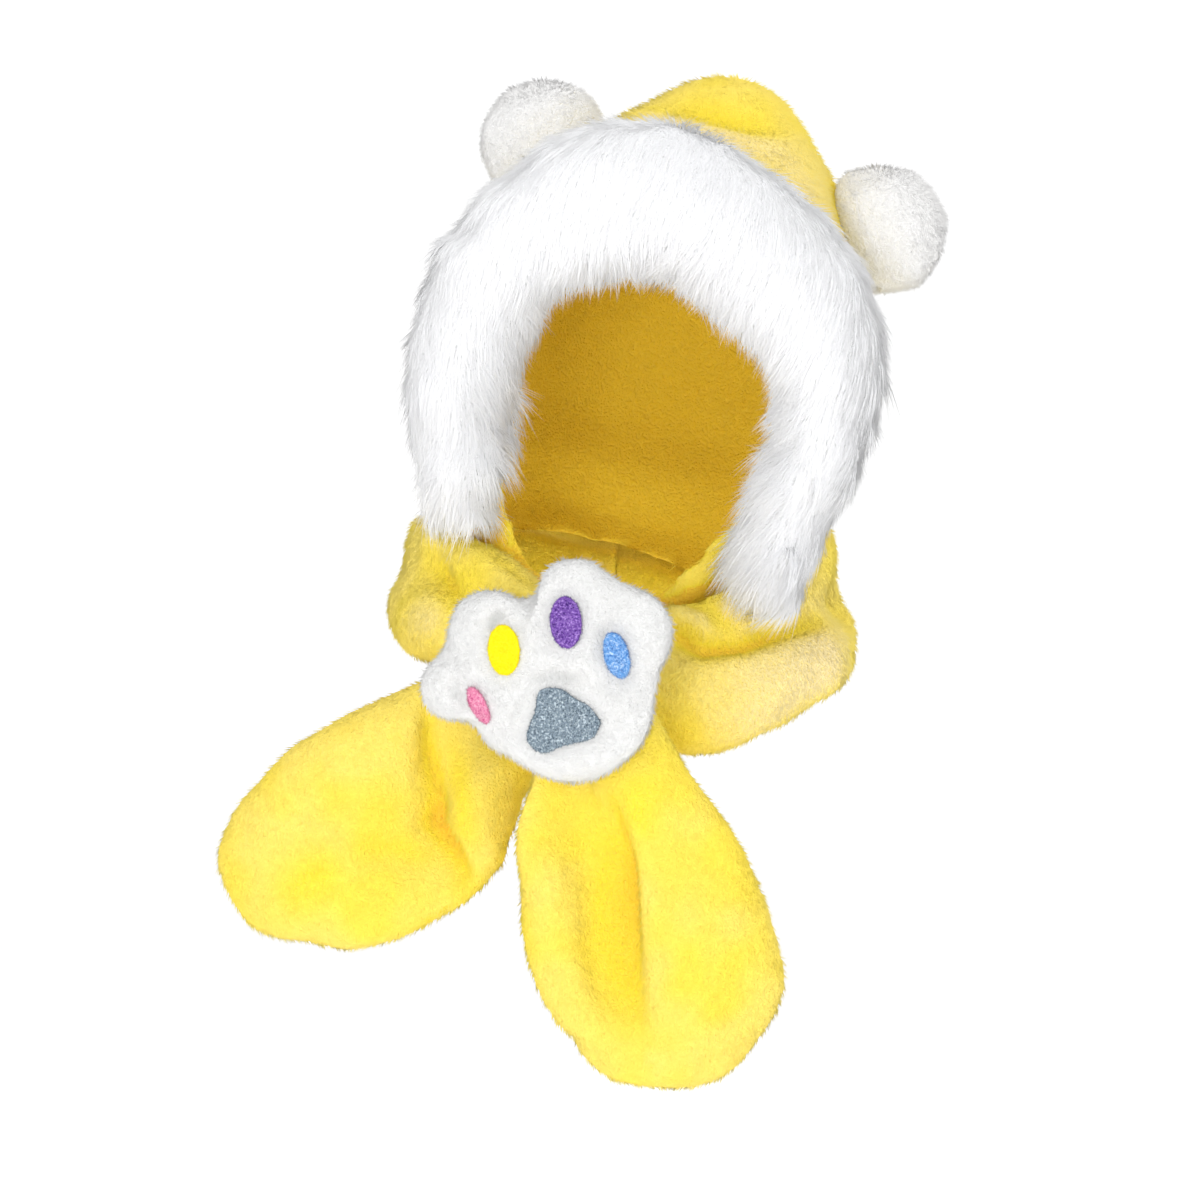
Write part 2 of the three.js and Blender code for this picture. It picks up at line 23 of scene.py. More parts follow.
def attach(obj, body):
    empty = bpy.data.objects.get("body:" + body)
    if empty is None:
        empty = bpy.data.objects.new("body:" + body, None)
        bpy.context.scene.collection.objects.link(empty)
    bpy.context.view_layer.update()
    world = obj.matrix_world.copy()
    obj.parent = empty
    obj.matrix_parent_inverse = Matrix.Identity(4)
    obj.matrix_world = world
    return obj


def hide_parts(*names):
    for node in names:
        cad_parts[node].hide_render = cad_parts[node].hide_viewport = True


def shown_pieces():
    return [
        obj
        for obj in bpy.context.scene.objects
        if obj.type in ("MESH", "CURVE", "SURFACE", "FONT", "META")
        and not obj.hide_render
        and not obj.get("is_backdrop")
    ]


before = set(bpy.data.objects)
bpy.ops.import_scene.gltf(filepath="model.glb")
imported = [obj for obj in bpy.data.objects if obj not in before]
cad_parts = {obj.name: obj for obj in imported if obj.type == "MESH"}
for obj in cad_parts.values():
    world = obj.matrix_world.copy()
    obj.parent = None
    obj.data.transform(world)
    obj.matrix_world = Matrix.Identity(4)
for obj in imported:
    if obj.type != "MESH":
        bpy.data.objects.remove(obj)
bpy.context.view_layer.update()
NODES: dict[str, bpy.types.Object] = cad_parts
LOG = logging.getLogger("hood scarf")
MM = 0.001

Array = np.ndarray
Colour = tuple[float, float, float]
Spot = tuple[float, float]

STRAND_MAP = "strand"
PAINTED_SHADE_MAP = "painted_shade"
EYE = (-56.8, -2260.0, -207.2)
FRONT_PLANE = -60.0


def linear(red: int, green: int, blue: int) -> Colour:
    """Turns a display colour into a linear one.

    Args:
        red: its red, from 0 to 255.
        green: its green.
        blue: its blue.

    Returns:
        The linear colour, from 0 to 1.
    """
    return tuple(
        c / 12.92 if c <= 0.04045 else ((c + 0.055) / 1.055) ** 2.4
        for c in (red / 255, green / 255, blue / 255)
    )


def unit(rows: Array) -> Array:
    """Returns the rows scaled to length one."""
    return rows / np.maximum(np.linalg.norm(rows, axis=1, keepdims=True), 1e-9)


def level(rows: Array, normals: Array) -> Array:
    """Returns the rows laid flat on the surface that has these normals, at length one."""
    return unit(rows - np.sum(rows * normals, axis=1, keepdims=True) * normals)


# Materials


class Value:
    """A number socket of a shader, on which Python arithmetic adds Math nodes."""

    def __init__(self, shader: Shader, socket: bpy.types.NodeSocket) -> None:
        """Keeps the socket and the shader that it is in."""
        self.shader = shader
        self.socket = socket

    def _math(self, operation: str, a: Value | float, b: Value | float) -> Value:
        """Adds one Math node and returns its result."""
        out = self.shader.node("ShaderNodeMath", {"operation": operation}, {0: a, 1: b})
        return Value(self.shader, out.outputs[0])

    def __add__(self, other: Value | float) -> Value:
        """Returns the sum."""
        return self._math("ADD", self, other)

    def __radd__(self, other: float) -> Value:
        """Returns the sum."""
        return self._math("ADD", other, self)

    def __sub__(self, other: Value | float) -> Value:
        """Returns the difference."""
        return self._math("SUBTRACT", self, other)

    def __rsub__(self, other: float) -> Value:
        """Returns the difference."""
        return self._math("SUBTRACT", other, self)

    def __mul__(self, other: Value | float) -> Value:
        """Returns the product."""
        return self._math("MULTIPLY", self, other)

    def __rmul__(self, other: float) -> Value:
        """Returns the product."""
        return self._math("MULTIPLY", other, self)

    def above(self, edge: float, soft: float) -> Value:
        """Returns a mask that rises from 0 to 1 where the number passes an edge.

        Args:
            edge: the number at which the mask is one half.
            soft: how wide the rise is.

        Returns:
            The mask, clamped to 0 and 1.
        """
        sockets = {0: self, 1: edge - soft / 2, 2: edge + soft / 2, 3: 0.0, 4: 1.0}
        out = self.shader.node("ShaderNodeMapRange", {"clamp": True}, sockets)
        return Value(self.shader, out.outputs[0])


Link = "Value | bpy.types.NodeSocket | float | tuple"


class Shader:
    """A material under construction: one Principled surface and the nodes that feed it."""

    def __init__(self, name: str, roughness: float, sheen: float, tint: Colour) -> None:
        """Starts a cloth material.

        Args:
            name: the material's name.
            roughness: how matt the fibres are.
            sheen: how strong the soft light of the fibre tips is.
            tint: the colour of that light.
        """
        self.material = bpy.data.materials.new(name)
        self.material.use_nodes = True
        self.tree = self.material.node_tree
        self.surface = self.tree.nodes["Principled BSDF"]
        self.surface.inputs["Roughness"].default_value = roughness
        self.surface.inputs["Sheen Weight"].default_value = sheen
        self.surface.inputs["Sheen Roughness"].default_value = 0.5
        self.surface.inputs["Sheen Tint"].default_value = (*tint, 1.0)
        self.surface.inputs["Specular IOR Level"].default_value = 0.2

    def node(self, kind: str, settings: dict, sockets: dict) -> bpy.types.Node:
        """Adds a node.

        Args:
            kind: the node's type.
            settings: its properties, set before its sockets.
            sockets: a value or a link for each of its inputs, by name or number.

        Returns:
            The new node.
        """
        made = self.tree.nodes.new(kind)
        for name, setting in settings.items():
            setattr(made, name, setting)
        for name, given in sockets.items():
            self.feed(made.inputs[name], given)
        return made

    def feed(self, socket: bpy.types.NodeSocket, given: Link) -> None:
        """Links a value or a socket to a socket, or sets a constant on it.

        Args:
            socket: the input.
            given: what it gets.
        """
        if isinstance(given, Value):
            given = given.socket
        if isinstance(given, bpy.types.NodeSocket):
            self.tree.links.new(given, socket)
        elif isinstance(given, tuple) and len(given) == 3 and socket.type == "RGBA":
            socket.default_value = (*given, 1.0)
        else:
            socket.default_value = given

    def place(self) -> bpy.types.NodeSocket:
        """Returns the Object coordinates."""
        return self.node("ShaderNodeTexCoord", {}, {}).outputs["Object"]

    def painted_shade(self) -> Value:
        """Returns the painted shade at each point from the mesh's attribute, with a painted highlight where
        it is below 0.
        """
        return Value(self, self.node("ShaderNodeAttribute", {"attribute_name": PAINTED_SHADE_MAP}, {}).outputs["Fac"])

    def strand(self) -> tuple[Value, Value]:
        """Reads the map of the strands.

        Returns:
            The number that picks the strand, and the height on it from root to tip.
        """
        uv = self.node("ShaderNodeUVMap", {"uv_map": STRAND_MAP}, {})
        parts = self.node("ShaderNodeSeparateXYZ", {}, {0: uv.outputs[0]})
        return Value(self, parts.outputs[0]), Value(self, parts.outputs[1])

    def noise(self, size: float, detail: float = 2.0, seed: float = 0.0) -> Value:
        """Returns a noise from 0 to 1.

        Args:
            size: the size of its spots in millimetres.
            detail: how many finer layers it has.
            seed: moves the pattern.

        Returns:
            The noise.
        """
        moved = self.node("ShaderNodeMapping", {}, {0: self.place(), 1: (seed, seed * 0.7, -seed)})
        sockets = {"Vector": moved.outputs[0], "Scale": 1 / (size * MM), "Detail": detail}
        return Value(self, self.node("ShaderNodeTexNoise", {}, sockets).outputs[0])

    def mix(self, share: Link, low: Link, high: Link) -> bpy.types.NodeSocket:
        """Mixes two colours.

        Args:
            share: how much of the second there is, from 0 to 1.
            low: the first colour.
            high: the second.

        Returns:
            The mixed colour.
        """
        made = self.node("ShaderNodeMix", {"data_type": "RGBA"}, {0: share, 6: low, 7: high})
        return made.outputs[2]

    def colour(self, link: Link) -> None:
        """Sets the surface's colour."""
        self.feed(self.surface.inputs["Base Color"], link)

    def bump(self, height: Value, depth: float) -> None:
        """Lets a height feed the surface's normal.

        Args:
            height: the height, from 0 to 1.
            depth: how many millimetres deep that is.
        """
        sockets = {"Height": height, "Distance": depth * MM, "Strength": 1.0}
        made = self.node("ShaderNodeBump", {}, sockets)
        self.feed(self.surface.inputs["Normal"], made.outputs[0])


@dataclass(frozen=True)
class Plush:
    """The finish of a plush or fur: the cloth under the pile and the pile itself.

    Attributes:
        name: the finish's name.
        slot: the material slot that it is a finish of; it is not used.
        tip: the colour of the strands' tips.
        root: their colour near the cloth, darker than the tips as painted shade deep in the pile; some
            strands take it at random.
        deep: a second tone that drifts over the piece at random, and the painted shade of shallow hollows.
        painted_shade: the darkest painted shade, in deep hollows and creases.
        pale: the painted highlight, on the places that catch most light.
        drift: how far the second tone goes, from 0 to 1.
        stray: how much one strand differs from the next.
        sheen: how strong the soft light of the tips is.
        seed: moves the drift.
    """

    name: str
    slot: str
    tip: Colour
    root: Colour
    deep: Colour
    painted_shade: Colour
    pale: Colour
    drift: float = 0.4
    stray: float = 0.25
    sheen: float = 0.3
    seed: float = 3.1

    def painted_light_colour(self, shader: Shader) -> bpy.types.NodeSocket:
        """Mixes the colour of the pile with its painted light.

        Args:
            shader: the material under construction.

        Returns:
            The colour, with its drift over the piece at random, a painted highlight in the pale tone and
            painted shade in the deep and darkest tones.
        """
        wander = shader.noise(30.0, 1.0, self.seed).above(0.55, 0.25)
        over = shader.mix(wander * self.drift, self.tip, self.deep)
        # Painted light from the mesh's attribute: below 0 a painted highlight in the pale tone, up to 0.5
        # painted shade in the deep tone, up to 1 the darkest painted shade.
        hollow = shader.painted_shade()
        light = shader.mix((hollow * -2).above(0.5, 1.0), over, self.pale)
        half_shaded = shader.mix((hollow * 2).above(0.5, 1.0), light, self.deep)
        return shader.mix((hollow * 2 - 1).above(0.5, 1.0), half_shaded, self.painted_shade)

    def strands(self) -> bpy.types.Material:
        """Makes the finish of the pile.

        Returns:
            The material of the strands: painted shade towards the root, and no two quite alike.
        """
        shader = Shader(f"{self.name}_strands", 0.75, self.sheen, self.tip)
        which, height = shader.strand()
        painted_light_colour = self.painted_light_colour(shader)
        # Painted shade: each strand darkens towards its root, where the pile shades itself; some strands take
        # the root tone at random.
        low = shader.mix(0.5, self.root, painted_light_colour)
        grown = shader.mix((height * 1.2 + 0.25).above(0.5, 1.0), low, painted_light_colour)
        shader.colour(shader.mix((1 - which) * self.stray, grown, self.root))
        return shader.material

    def cloth(self) -> bpy.types.Material:
        """Makes the finish of the cloth that carries the pile.

        Returns:
            The material: a close ground of short fibres with soft bumps.
        """
        shader = Shader(f"{self.name}_cloth", 0.9, self.sheen, self.tip)
        fibre = shader.noise(1.1, 3.0)
        painted_light_colour = self.painted_light_colour(shader)
        # The ground's fibre spots take part of the darker root tone, painted shade between the fibres.
        shader.colour(shader.mix(fibre.above(0.5, 0.5), shader.mix(0.4, self.root, painted_light_colour), painted_light_colour))
        shader.bump(fibre + shader.noise(5.0, 2.0, 1.7) * 0.8, 1.6)
        return shader.material


@dataclass(frozen=True)
class Speckle:
    """The finish of a coloured pad: close short glitter felt, its glints painted as light grains among dark
    ones, with painted shade on its sides in the dark tone.
    """

    slot: str
    base: Colour
    light: Colour
    dark: Colour
    amount: float = 1.0

    def _mixed(self, shader: Shader, which: Value) -> None:
        """Sets the colour of the fibres: painted glints as light grains, dark grains, and painted shade in
        the dark tone where the mesh's attribute asks.

        Args:
            shader: the material under construction.
            which: a number that differs from fibre to fibre.
        """
        # Painted glints: the light grains of the glitter.
        spotted = shader.mix(which.above(0.74, 0.3) * self.amount, self.base, self.light)
        shaded = (1 - which.above(0.28, 0.3)) * self.amount
        grains = shader.mix(shaded, spotted, self.dark)
        # Painted shade in the dark tone, from the mesh's attribute.
        shader.colour(shader.mix(shader.painted_shade(), grains, self.dark))

    def strands(self) -> bpy.types.Material:
        """Makes the finish of the short strands.

        Returns:
            The material.
        """
        shader = Shader(f"{self.slot}_strands", 0.6, 0.15, self.light)
        self._mixed(shader, shader.strand()[0])
        return shader.material

    def cloth(self) -> bpy.types.Material:
        """Makes the finish of the felt under them.

        Returns:
            The material.
        """
        shader = Shader(f"{self.slot}_cloth", 0.8, 0.15, self.light)
        fibre = shader.noise(0.9, 2.0)
        self._mixed(shader, fibre * 2.2 - 0.6)
        shader.bump(fibre, 0.6)
        return shader.material


# In each finish, the root tone is painted shade deep in the pile, the darkest tone is painted shade in
# hollows and creases and the pale tone is a painted highlight; the deep tone drifts at random and also paints
# the shade of shallow hollows.
WHITE = Plush(
    "brim_fur",
    "white_fur",
    tip=(0.95, 0.952, 0.96),
    root=(0.84, 0.845, 0.865),
    deep=(0.91, 0.912, 0.925),
    painted_shade=(0.72, 0.725, 0.75),
    pale=(0.95, 0.95, 0.955),
    stray=0.55,
)
EAR_WHITE = Plush(
    "ear_plush",
    "white_plush",
    tip=(0.915, 0.915, 0.915),
    root=(0.89, 0.885, 0.88),
    deep=(0.91, 0.90, 0.89),
    painted_shade=(0.84, 0.77, 0.68),
    pale=(0.955, 0.95, 0.95),
    stray=0.15,
)
PAW_WHITE = Plush(
    "paw_plush",
    "white_plush",
    tip=(0.83, 0.83, 0.825),
    root=(0.82, 0.82, 0.815),
    deep=(0.85, 0.845, 0.835),
    painted_shade=(0.66, 0.67, 0.66),
    pale=(0.95, 0.95, 0.945),
    stray=0.12,
)
YELLOW = Plush(
    "yellow_plush",
    "yellow_plush",
    tip=(1.0, 0.81, 0.17),
    root=(1.0, 0.73, 0.09),
    deep=(1.0, 0.80, 0.04),
    painted_shade=(1.0, 0.55, 0.035),
    pale=(1.0, 0.85, 0.52),
    drift=0.7,
    stray=0.14,
    sheen=0.15,
)
# Each pad's light tone paints the glints of its glitter, and its dark tone is its dark grains and the painted
# shade on its sides.
PINK_PAD = Speckle("pink_pad", linear(240, 146, 184), linear(255, 214, 228), linear(208, 84, 136))
YELLOW_PAD = Speckle("yellow_pad", linear(250, 232, 10), linear(255, 244, 60), linear(244, 216, 0), 0.5)
PURPLE_PAD = Speckle("purple_pad", linear(122, 82, 172), linear(186, 150, 222), linear(62, 34, 112))
BLUE_PAD = Speckle("blue_pad", linear(112, 168, 226), linear(200, 222, 246), linear(62, 112, 188))
GREY_PAD = Speckle("grey_pad", linear(132, 148, 160), linear(206, 218, 226), linear(72, 88, 102))


# Skins


def piece(name: str, mesh: bpy.types.Mesh, material: bpy.types.Material) -> bpy.types.Object:
    """Makes a smooth-shaded piece that rides on the part's one body.

    Args:
        name: the piece's name.
        mesh: its mesh.
        material: its only material.

    Returns:
        The piece.
    """
    if not mesh.has_custom_normals:
        mesh.polygons.foreach_set("use_smooth", np.ones(len(mesh.polygons), bool))
    mesh.materials.clear()
    mesh.materials.append(material)
    made = bpy.data.objects.new(name, mesh)
    bpy.context.scene.collection.objects.link(made)
    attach(made, "root")
    return made


def applied(made: bpy.types.Object) -> bpy.types.Mesh:
    """Applies an object's modifiers.

    Args:
        made: the object, which is removed.

    Returns:
        The mesh that it ends with.
    """
    bpy.context.view_layer.update()
    graph = bpy.context.evaluated_depsgraph_get()
    mesh = bpy.data.meshes.new_from_object(made.evaluated_get(graph))
    bpy.data.objects.remove(made)
    return mesh


def points_of(mesh: bpy.types.Mesh) -> Array:
    """Reads the places of a mesh's vertices.

    Args:
        mesh: the mesh.

    Returns:
        The places as rows, in metres.
    """
    rows = np.empty(len(mesh.vertices) * 3)
    mesh.vertices.foreach_get("co", rows)
    return rows.reshape(-1, 3)


def normals_of(mesh: bpy.types.Mesh) -> Array:
    """Reads the normals of a mesh's vertices.

    Args:
        mesh: the mesh.

    Returns:
        The normals as rows.
    """
    rows = np.empty(len(mesh.vertices) * 3)
    mesh.vertex_normals.foreach_get("vector", rows)
    return rows.reshape(-1, 3)


def set_points(mesh: bpy.types.Mesh, rows: Array) -> None:
    """Moves the mesh's vertices to the rows, in metres."""
    mesh.vertices.foreach_set("co", rows.ravel())
    mesh.update()


def seen(rows: Array) -> Array:
    """Finds where points show in the front view.

    Args:
        rows: the points, in metres.

    Returns:
        Their places on the front plane, across and up in millimetres.
    """
    place = rows / MM
    share = (FRONT_PLANE - EYE[1]) / (place[:, 1:2] - EYE[1])
    middle = np.array([EYE[0], EYE[2]])
    return middle + (place[:, [0, 2]] - middle) * share


@dataclass(frozen=True)
class Crease:
    """A valley, or with a negative depth a ridge, pressed into a skin along a path on the front view, that
    also paints shade along it, or with a negative tint a highlight.

    Attributes:
        path: its corners as the camera sees them, across and up in millimetres.
        depth: how deep it is at its deepest.
        left: its reach to the left of the path's way.
        right: its reach to the right of it.
        behind: the furthest back that it works.
        tint: how much painted shade it adds, 0.5 for the deep tone and 1 for the darkest painted shade, or
            below
            0 how much painted highlight it adds in the pale tone.
        ends: how far it runs out at its ends, from 0, not at all, to 1.
    """

    path: tuple[Spot, ...]
    depth: float
    left: float
    right: float
    behind: float = 0.0
    tint: float = 0.0
    ends: float = 1.0

    def pressed(self, rows: Array, normals: Array) -> Array:
        """Finds how far the crease presses each point in.

        Args:
            rows: the points, in metres.
            normals: the normals there.

        Returns:
            Shares of the depth, from 0 to 1.
        """
        flat = seen(rows)
        nearest = np.full(len(rows), 1e9)
        along = np.zeros(len(rows))
        side = np.zeros(len(rows))
        corners = np.array(self.path)
        for i, (start, end) in enumerate(zip(corners[:-1], corners[1:])):
            span = end - start
            offset = flat - start
            share = np.clip(offset @ span / (span @ span), 0, 1)
            away = np.linalg.norm(offset - share[:, None] * span, axis=1)
            closer = away < nearest
            nearest[closer] = away[closer]
            along[closer] = (i + share[closer]) / (len(corners) - 1)
            side[closer] = (span[0] * offset[:, 1] - span[1] * offset[:, 0])[closer]
        reach = np.where(side > 0, self.left, self.right)
        faded = 1 - self.ends + self.ends * np.sin(np.pi * np.clip(along * 0.9 + 0.05, 0, 1)) ** 0.6
        facing = np.clip(-normals[:, 1] * 1.9 - 0.15, 0, 1) * (rows[:, 1] < self.behind * MM)
        return np.exp(-((nearest / reach) ** 2)) * faded * facing


@dataclass(frozen=True)
class Nudge:
    """A soft shift of the part of a skin that shows near a place on the front view.

    Attributes:
        place: the place, across and up in millimetres.
        move: how far it shifts, across and up.
        reach: how far round the place it works.
        behind: the furthest back that it works.
    """

    place: Spot
    move: Spot
    reach: float
    behind: float = -30.0

    def shifted(self, rows: Array) -> Array:
        """Shifts points.

        Args:
            rows: the points, in metres.

        Returns:
            The points after the shift.
        """
        away = np.linalg.norm(seen(rows) - np.array(self.place), axis=1) / self.reach
        share = np.exp(-(away**2)) * np.clip((self.behind - rows[:, 1] / MM) / 15, 0, 1)
        return rows + share[:, None] * np.array([self.move[0], 0.0, self.move[1]]) * MM


@dataclass(frozen=True)
class SkinForm:
    """How a padded skin is made from its solid.

    Attributes:
        voxel: the size of its faces in millimetres.
        smooth: how many times it is smoothed.
        inset: how far it lies inside the solid, to leave room for the pile.
        thin: parts thinner than twice this are dropped before it is smoothed, or, below 0, gaps are filled.
        shade: how strongly hollows between the pieces take painted shade.
        lumps: the height of its soft unevenness.
        lump_size: the size of that unevenness.
        puff: how far the cloth simulation may move a point of it, or 0 for none.
    """

    voxel: float
    smooth: int
    inset: float
    lumps: float = 0.8
    lump_size: float = 22.0
    thin: float = 0.0
    shade: float = 1.0
    puff: float = 0.0


FIRST_SMOOTH = 8
CLOTH_STEPS = 20
CLEAR_OF_SKIN = 2.5
SHADE_GAIN = 1.7
SHADE_START = 0.12
DEEPEST_SHADE = 0.85


def merged(node: str) -> bpy.types.Mesh:
    """Copies a solid's mesh and merges its loose triangles.

    Args:
        node: the solid's name.

    Returns:
        The closed copy, without a material.
    """
    mesh = NODES[node].data.copy()
    work = bmesh.new()
    work.from_mesh(mesh)
    bmesh.ops.remove_doubles(work, verts=work.verts, dist=0.00002)
    work.to_mesh(mesh)
    work.free()
    mesh.materials.clear()
    return mesh


def soft_noise(rows: Array, size: float, seed: int) -> Array:
    """Adds up a few seeded waves to a smooth noise.

    Args:
        rows: the points, in metres.
        size: the length of its waves in millimetres.
        seed: picks the waves.

    Returns:
        The noise at each point, about -1 to 1.
    """
    rng = np.random.default_rng(seed)
    total = np.zeros(len(rows))
    for _ in range(9):
        wave = unit(rng.normal(size=(1, 3)))[0] * (2 * np.pi / (size * MM)) * rng.uniform(0.6, 1.5)
        total += np.sin(rows @ wave + rng.uniform(0, 2 * np.pi))
    return total / 3.6


def without_crumbs(mesh: bpy.types.Mesh) -> None:
    """Deletes every loose part of a mesh but the largest.

    Args:
        mesh: the mesh, changed in place.
    """
    work = bmesh.new()
    work.from_mesh(mesh)
    left = set(work.verts)
    islands: list[set[bmesh.types.BMVert]] = []
    while left:
        front = [left.pop()]
        island = set(front)
        while front:
            near = {edge.other_vert(vert) for vert in front for edge in vert.link_edges} - island
            island |= near
            front = list(near)
        left -= island
        islands.append(island)
    islands.sort(key=len)
    crumbs = [vert for island in islands[:-1] for vert in island]
    bmesh.ops.delete(work, geom=crumbs, context="VERTS")
    work.to_mesh(mesh)
    work.free()


def tree_of(nodes: Sequence[str]) -> BVHTree:
    """Makes one search tree of several solids.

    Args:
        nodes: the solids' names.

    Returns:
        The tree, for rays and nearest points.
    """
    rows: list[Vector] = []
    faces: list[list[int]] = []
    for node in nodes:
        mesh = merged(node)
        faces += [[corner + len(rows) for corner in face.vertices] for face in mesh.polygons]
        rows += [vertex.co.copy() for vertex in mesh.vertices]
        bpy.data.meshes.remove(mesh)
    return BVHTree.FromPolygons(rows, faces)


SOLIDS = tree_of([name for name in NODES if not name.endswith("_pad")])


def neighbours(node: str) -> BVHTree:
    """Returns the search tree of all the main solids but one."""
    return tree_of([name for name in NODES if name != node and not name.endswith("_pad")])


def remeshed(mesh: bpy.types.Mesh, voxel: float, smooth: int) -> bpy.types.Mesh:
    """Rebuilds a mesh in even faces and smooths it.

    Args:
        mesh: the mesh.
        voxel: the size of the faces in millimetres.
        smooth: how many times it is smoothed.

    Returns:
        The new mesh, in one part.
    """
    holder = bpy.data.objects.new("work", mesh)
    bpy.context.scene.collection.objects.link(holder)
    remesh = holder.modifiers.new("remesh", "REMESH")
    remesh.mode = "VOXEL"
    remesh.voxel_size = voxel * MM
    if smooth:
        even = holder.modifiers.new("even", "SMOOTH")
        even.factor = 0.5
        even.iterations = smooth
    made = applied(holder)
    without_crumbs(made)
    return made


def swell(mesh: bpy.types.Mesh, by: float) -> None:
    """Moves every vertex outwards by a length in millimetres."""
    set_points(mesh, points_of(mesh) + normals_of(mesh) * by * MM)


def puffed(mesh: bpy.types.Mesh, cap: float) -> bpy.types.Mesh:
    """Blows a skin up by cloth simulation, so that it swells and puckers as padded cloth does.

    Args:
        mesh: the skin, in even faces.
        cap: the furthest that a point may move, in millimetres.

    Returns:
        The skin as the simulation leaves it.
    """
    start = points_of(mesh)
    holder = bpy.data.objects.new("work", mesh)
    bpy.context.scene.collection.objects.link(holder)
    settings = holder.modifiers.new("cloth", "CLOTH").settings
    settings.use_pressure = True
    settings.uniform_pressure_force = 4.0
    settings.effector_weights.gravity = 0.0
    settings.bending_stiffness = 4.0
    settings.shrink_min = -0.05
    for step in range(1, CLOTH_STEPS + 1):
        bpy.context.scene.frame_set(step)
    made = applied(holder)
    bpy.context.scene.frame_set(1)
    travel = points_of(made) - start
    length = np.linalg.norm(travel, axis=1, keepdims=True)
    set_points(made, start + travel * np.minimum(1, cap * MM / np.maximum(length, 1e-9)))
    return made


def shadow(rows: Array, normals: Array, around: BVHTree, start: float) -> Array:
    """Measures how far each point lies in a hollow.

    Args:
        rows: the points, in metres.
        normals: the normals there.
        around: the solids that shade them.
        start: how far out from the points the rays begin, in millimetres.

    Returns:
        A number for each point, from 0 in the open to 1 where everything near is closed.
    """
    reach, rays = 0.055, 14
    rng = np.random.default_rng(5)
    ways = unit(rng.normal(size=(rays, 3)))
    closed = np.zeros(len(rows))
    for i, (row, normal) in enumerate(zip(rows, normals)):
        origin = Vector(row + normal * start * MM)
        total = 0.0
        for way in ways:
            ray = unit((normal * 1.1 + way)[None])[0]
            hit = around.ray_cast(origin, Vector(ray), reach)[3]
            total += 0.0 if hit is None else 1 - hit / reach
        closed[i] = total / rays
    return closed


def skin(
    node: str,
    form: SkinForm,
    creases: Sequence[Crease] = (),
    seed: int = 1,
    prepare: Callable[[bpy.types.Mesh], None] | None = None,
    nudges: Sequence[Nudge] = (),
) -> bpy.types.Mesh:
    """Makes the padded skin of a solid.

    Args:
        node: the solid's name.
        form: how its skin is made.
        creases: the valleys pressed into it.
        seed: picks its unevenness.
        prepare: changes the copy of the solid before the skin is made from it.
        nudges: soft shifts of its outline.

    Returns:
        The skin's mesh, in place, with an attribute of the painted shade at each point, a painted highlight
        where it is below 0.
    """
    start = merged(node)
    if prepare:
        prepare(start)
    mesh = remeshed(start, form.voxel, FIRST_SMOOTH if form.thin else form.smooth)
    if form.thin:
        swell(mesh, -form.thin)
        mesh = remeshed(mesh, form.voxel, form.smooth)
        swell(mesh, form.thin)
    if form.puff:
        swell(mesh, -form.puff / 2)
        mesh = puffed(mesh, form.puff)
    rows, normals = points_of(mesh), normals_of(mesh)
    sunk = form.inset * MM - form.lumps * MM * soft_noise(rows, form.lump_size, seed)
    # Painted shade: points that the solids close in take the darker tones, and so do creases with a tint; a
    # negative tint paints a highlight.
    closed = shadow(rows, normals, SOLIDS, form.inset + CLEAR_OF_SKIN)
    painted_shade = np.clip(closed * SHADE_GAIN - SHADE_START, 0, DEEPEST_SHADE) * form.shade
    for crease in creases:
        share = crease.pressed(rows, normals)
        sunk = sunk + crease.depth * MM * share
        painted_shade = np.maximum(painted_shade, crease.tint * share) if crease.tint >= 0 else painted_shade + crease.tint * share
    rows = rows - normals * sunk[:, None]
    for nudge in nudges:
        rows = nudge.shifted(rows)
    set_points(mesh, rows)
    mark(mesh, painted_shade)
    return mesh


def mark(mesh: bpy.types.Mesh, painted_shade: Array) -> None:
    """Writes the painted shade at each vertex to the mesh's attribute."""
    layer = mesh.attributes.get(PAINTED_SHADE_MAP) or mesh.attributes.new(PAINTED_SHADE_MAP, "FLOAT", "POINT")
    layer.data.foreach_set("value", painted_shade.astype(np.float32))


# Pile


@dataclass(frozen=True)
class Pile:
    """How the pile of a piece stands.

    Attributes:
        count: how many strands it has.
        length: the length of a strand.
        width: the width of a strand at its root.
        lean: how far strands lie over towards the combed way, 0 upright and 1 flat.
        stray: how far each strand strays at random.
        clump: how far strands gather to the tips of their tufts.
        tuft: how many strands a tuft has.
        droop: how far the outer half bends on towards the combed way.
        segments: 1 for straight strands and 2 for bent ones.
        swirl: how far the combed way wanders over the piece.
        soft: how far its shading follows the skin's instead of each strand's own.
    """

    count: int
    length: float
    width: float
    lean: float = 0.5
    stray: float = 0.35
    clump: float = 0.3
    tuft: int = 10
    droop: float = 0.0
    segments: int = 1
    swirl: float = 0.35
    soft: float = 0.86


Comb = Callable[[Array, Array], Array]
Keep = Callable[[Array, Array], Array]

PRESSED_SHARE = 0.05
ROOT_DEPTH = 0.5
LENGTHS = (0.65, 1.15)
WIDTHS = (0.7, 1.15)
SHORTEST_SHARE = 0.15


